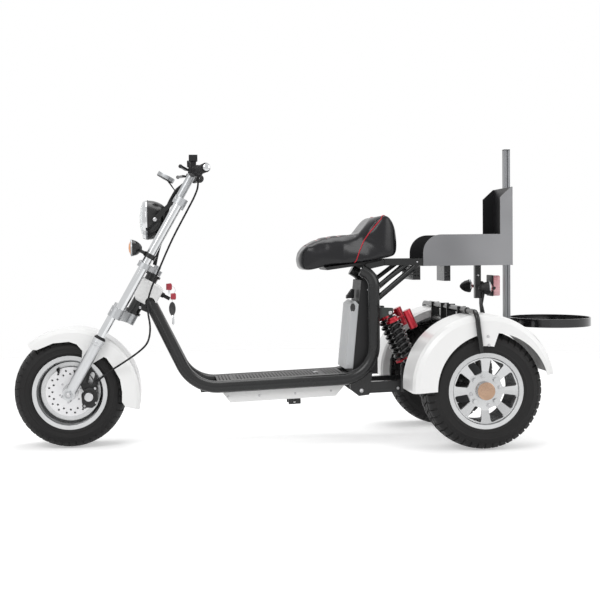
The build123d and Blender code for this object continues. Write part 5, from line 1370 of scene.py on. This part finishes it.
deck = {
    "originX": 468, "originZ": 223.5, "tilt": 2.3, "ribPitch": 13, "ribWidth": 5, "ribHeight": 1.0,
    # body, node, first and last rib along the deck, rib length
    "fields": [("deck_hatch", "deck_lid", 174, 496, 150), ("frame", "deck_floor", 104, 148, 180),
               ("frame", "deck_floor", 518, 572, 180)],
    "latchAlong": 486,
    "latch": [(0, -0.4), (11, -0.4), (11, 1.0), (10, 1.9), (7.5, 1.9), (7, 1.2), (0, 1.2)],
}


def onDeck(along, side, up):
    tilt = math.radians(deck["tilt"])
    return at(deck["originX"] + along * math.cos(tilt) - up * math.sin(tilt), side,
              deck["originZ"] + along * math.sin(tilt) + up * math.cos(tilt))


def makeDeck():
    angle = math.radians(deck["tilt"])
    up = Vector((-math.sin(angle), 0, math.cos(angle)))
    for body, name, first, last, width in deck["fields"]:
        rib = roundBox("deckRib", (deck["ribWidth"], width, 2.0), Matrix.Rotation(-angle, 4, "Y"), 0.5, 2)
        rows = []
        for along in range(first, last + 1, deck["ribPitch"]):
            hit = castOn([name], onDeck(along, 0, 300), -up)
            rows.append((hit[0] + up * (deck["ribHeight"] / 1000 - 0.001), (0, 0, 1), 1.0))
        fasten("deckRibs" + str(first), rib, body, "softRubber", rows)
    hit = castOn(["deck_lid"], onDeck(deck["latchAlong"], 0, 300), -up)
    addTurned("deckLatch", deck["latch"], 36, aimed(hit[0], up), "deck_hatch", "screwSteel")


pillar = {
    "port": (1090, 522),
    "portCover": [(0, 2.2), (9, 2.2), (12.2, 1.6), (13.6, 0.2), (13.6, -0.6), (0, -0.6)],
    "wedge": [(1079, 554), (1108, 556), (1110, 590), (1100, 592), (1092, 575), (1080, 566)], "wedgeWidth": 34,
    "seam": [(1092.5, 300), (1094.5, 300), (1114.5, 520), (1112.5, 520)], "seamSide": -96.1,
}


def makePillarParts():
    # charging port cover, latch wedge and the panel's seam line
    place, _ = fromSide(["pillar_panel"], *pillar["port"])
    oval = aimed(place, (0, -1, 0)) @ Matrix.Diagonal((0.72, 1.25, 1, 1))
    addTurned("portCover", pillar["portCover"], 40, oval, "frame", "glossBlack")
    width = pillar["wedgeWidth"]
    wedge = plate("latchWedge", pillar["wedge"], width, flatSide(width / 2), bevel=2.5)
    addPiece("latchWedge", wedge, "frame", "mouldedBlack")
    seam = plate("panelSeam", pillar["seam"], 0.6, flatSide(pillar["seamSide"]))
    addPiece("panelSeam", seam, "frame", "mouldedBlack")


keys = {
    # each plate: outline, thickness, bevel, offset from the lock's tip in metres, facing
    "keyBow": ([(-11, -12), (8, -14), (12, -8), (12, 8), (8, 14), (-11, 12)], 7, 2, (-0.006, 0.0035, 0.026),
               (0, -1, 0)),
    "spareBow": ([(-10, -12), (8, -13), (11, -8), (11, 8), (8, 13), (-10, 12)], 7, 2, (0.010, -0.004, -0.012),
                 (0, -1, 0.1)),
    "keyBlade": ([(-3.5, -4), (3.5, -4), (3.5, 22), (-3.5, 22)], 2.2, 0.5, (-0.006, 0.001, 0.0), (0, -1, 0)),
    "spareBlade": ([(-4, 0), (4, 0), (4, -34), (0, -40), (-4, -34)], 2.2, 0.5, (0.009, -0.003, -0.084),
                   (0, -1, 0.1)),
    "keyFob": ([(13 * math.cos(math.tau * i / 40), 27 * math.sin(math.tau * i / 40)) for i in range(40)], 5, 1.8,
               (0.006, 0.004, -0.06), (0, -1, 0)),
    "ring": [(0.002, 0.0, 0.03), (0.014, -0.002, 0.026), (0.02, -0.004, 0.012), (0.012, -0.005, -0.002),
             (0.006, 0.0, -0.026), (0.006, 0.002, -0.038)],
}


def makeKeys():
    # the key in its lock, two red bows and a blank oval fob on a ring
    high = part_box("ignition_lock")[1]
    tip = Vector((high.x, 0, high.z - 0.006))

    def flat(name):
        outline, thickness, bevel, offset, facing = keys[name]
        return plate(name, outline, thickness, aimed(tip + Vector(offset), facing), bevel)

    addJoined("keyBows", [flat("keyBow"), flat("spareBow")], "frame", "redPlastic")
    addJoined("keyBlades", [flat("keyBlade"), flat("spareBlade")], "frame", "brightChrome")
    addPiece("keyFob", flat("keyFob"), "frame", "glossBlack")
    line = smoothRoute("ringLine", [tip + Vector(offset) for offset in keys["ring"]])
    addPiece("keyRing", tube("keyRing", line, "brightChrome", 0.0009, 0.0, 0.01, 0.002, 10), "frame", "brightChrome")


makeDeck()
makePillarParts()
makeKeys()
print("stage: deck, pillar and keys")


# ---- floor, light and camera

studio = {
    "floorSize": 40,
    "floorGlow": 0.42,
    "fadeFrom": 2.0,
    "fadeTo": 5.5,
    "worldStrength": 0.5,
    # place, aim, size and power of each lamp
    "keyLamp": ((-2.2, -3.4, 3.2), (0, 0, 0.4), (2.4, 2.4), 78),
    "fillLamp": ((3.2, -2.6, 1.8), (0.3, 0, 0.5), (2.6, 2.0), 34),
    "topLamp": ((0.2, 0.6, 3.8), (0, 0, 0.3), (3.2, 2.2), 66),
}


def makeFloor():
    # pale floor that keeps the shadow and fades into the white air behind
    half = studio["floorSize"] / 2
    mesh = bpy.data.meshes.new("floor")
    mesh.from_pydata([(-half, -half, 0), (half, -half, 0), (half, half, 0), (-half, half, 0)], [], [(0, 1, 2, 3)])
    floor = putIn("floor", mesh)
    material, tree, shader, place = startMaterial("paleFloor")
    feed(tree, shader, {"Base Color": (0.9, 0.9, 0.9, 1), "Roughness": 0.9, "Specular IOR Level": 0.1})
    strength = mathNode(tree, "MULTIPLY", seenRays(tree), studio["floorGlow"])
    glow = addNode(tree, "ShaderNodeEmission", None, {"Strength": strength})
    both = addNode(tree, "ShaderNodeAddShader", None, {0: shader.outputs[0], 1: glow.outputs[0]})
    reach = addNode(tree, "ShaderNodeVectorMath", {"operation": "LENGTH"}, {0: place})
    fade = addNode(tree, "ShaderNodeMapRange", {"interpolation_type": "SMOOTHSTEP"}, {
        "From Min": studio["fadeFrom"], "From Max": studio["fadeTo"], "Value": reach.outputs["Value"]})
    clear = addNode(tree, "ShaderNodeBsdfTransparent")
    mixed = addNode(tree, "ShaderNodeMixShader", None, {
        0: fade.outputs["Result"], 1: both.outputs[0], 2: clear.outputs[0]})
    feed(tree, tree.nodes["Material Output"], {"Surface": mixed.outputs[0]})
    mesh.materials.append(material)


def seenRays(tree):
    # 1 for rays of the camera, of reflections and through glass
    path = addNode(tree, "ShaderNodeLightPath").outputs
    seen = mathNode(tree, "ADD", path["Is Camera Ray"], path["Is Glossy Ray"], clamp=True)
    return mathNode(tree, "ADD", seen, path["Is Transmission Ray"], clamp=True)


def makeWorld():
    world = bpy.data.worlds.new("studioAir")
    bpy.context.scene.world = world
    world.use_nodes = True
    tree, strength = world.node_tree, studio["worldStrength"]
    feed(tree, tree.nodes["Background"], {
        "Color": (1, 1, 1, 1), "Strength": spread(tree, seenRays(tree), 1 - strength, strength)})


def addLamp(name):
    place, aim, size, power = studio[name]
    data = bpy.data.lights.new(name, "AREA")
    data.energy = power
    data.shape = "RECTANGLE"
    data.size, data.size_y = size
    lamp = putIn(name, data)
    lamp.location = place
    lamp.rotation_euler = (Vector(aim) - Vector(place)).to_track_quat("-Z", "Y").to_euler()


photoCamera = {
    "place": (347.5, -4781, 742.7),
    "yaw": 0.1139,
    "pitch": 0.0399,
    "roll": -0.0102,
    "lens": 73.12,
}


def makeCamera():
    # the photograph's own camera, fitted to its wheels and level edges
    yaw, pitch, roll = photoCamera["yaw"], photoCamera["pitch"], photoCamera["roll"]
    forward = Vector((math.sin(yaw) * math.cos(pitch), math.cos(yaw) * math.cos(pitch), -math.sin(pitch)))
    right = Vector((math.cos(yaw), -math.sin(yaw), 0))
    up = right.cross(forward)
    turnedRight = right * math.cos(roll) + up * math.sin(roll)
    turnedUp = up * math.cos(roll) - right * math.sin(roll)
    data = bpy.data.cameras.new("photoCamera")
    data.sensor_width = 36
    data.lens = photoCamera["lens"]
    data.clip_end = 100
    camera = putIn("photoCamera", data)
    turned = Matrix((turnedRight, turnedUp, -forward)).transposed().to_4x4()
    camera.matrix_world = Matrix.Translation(at(*photoCamera["place"])) @ turned
    bpy.context.scene.camera = camera


makeFloor()
makeWorld()
for name in ("keyLamp", "fillLamp", "topLamp"):
    addLamp(name)
makeCamera()
bpy.context.scene.view_settings.view_transform = "Standard"
print("stage: studio")
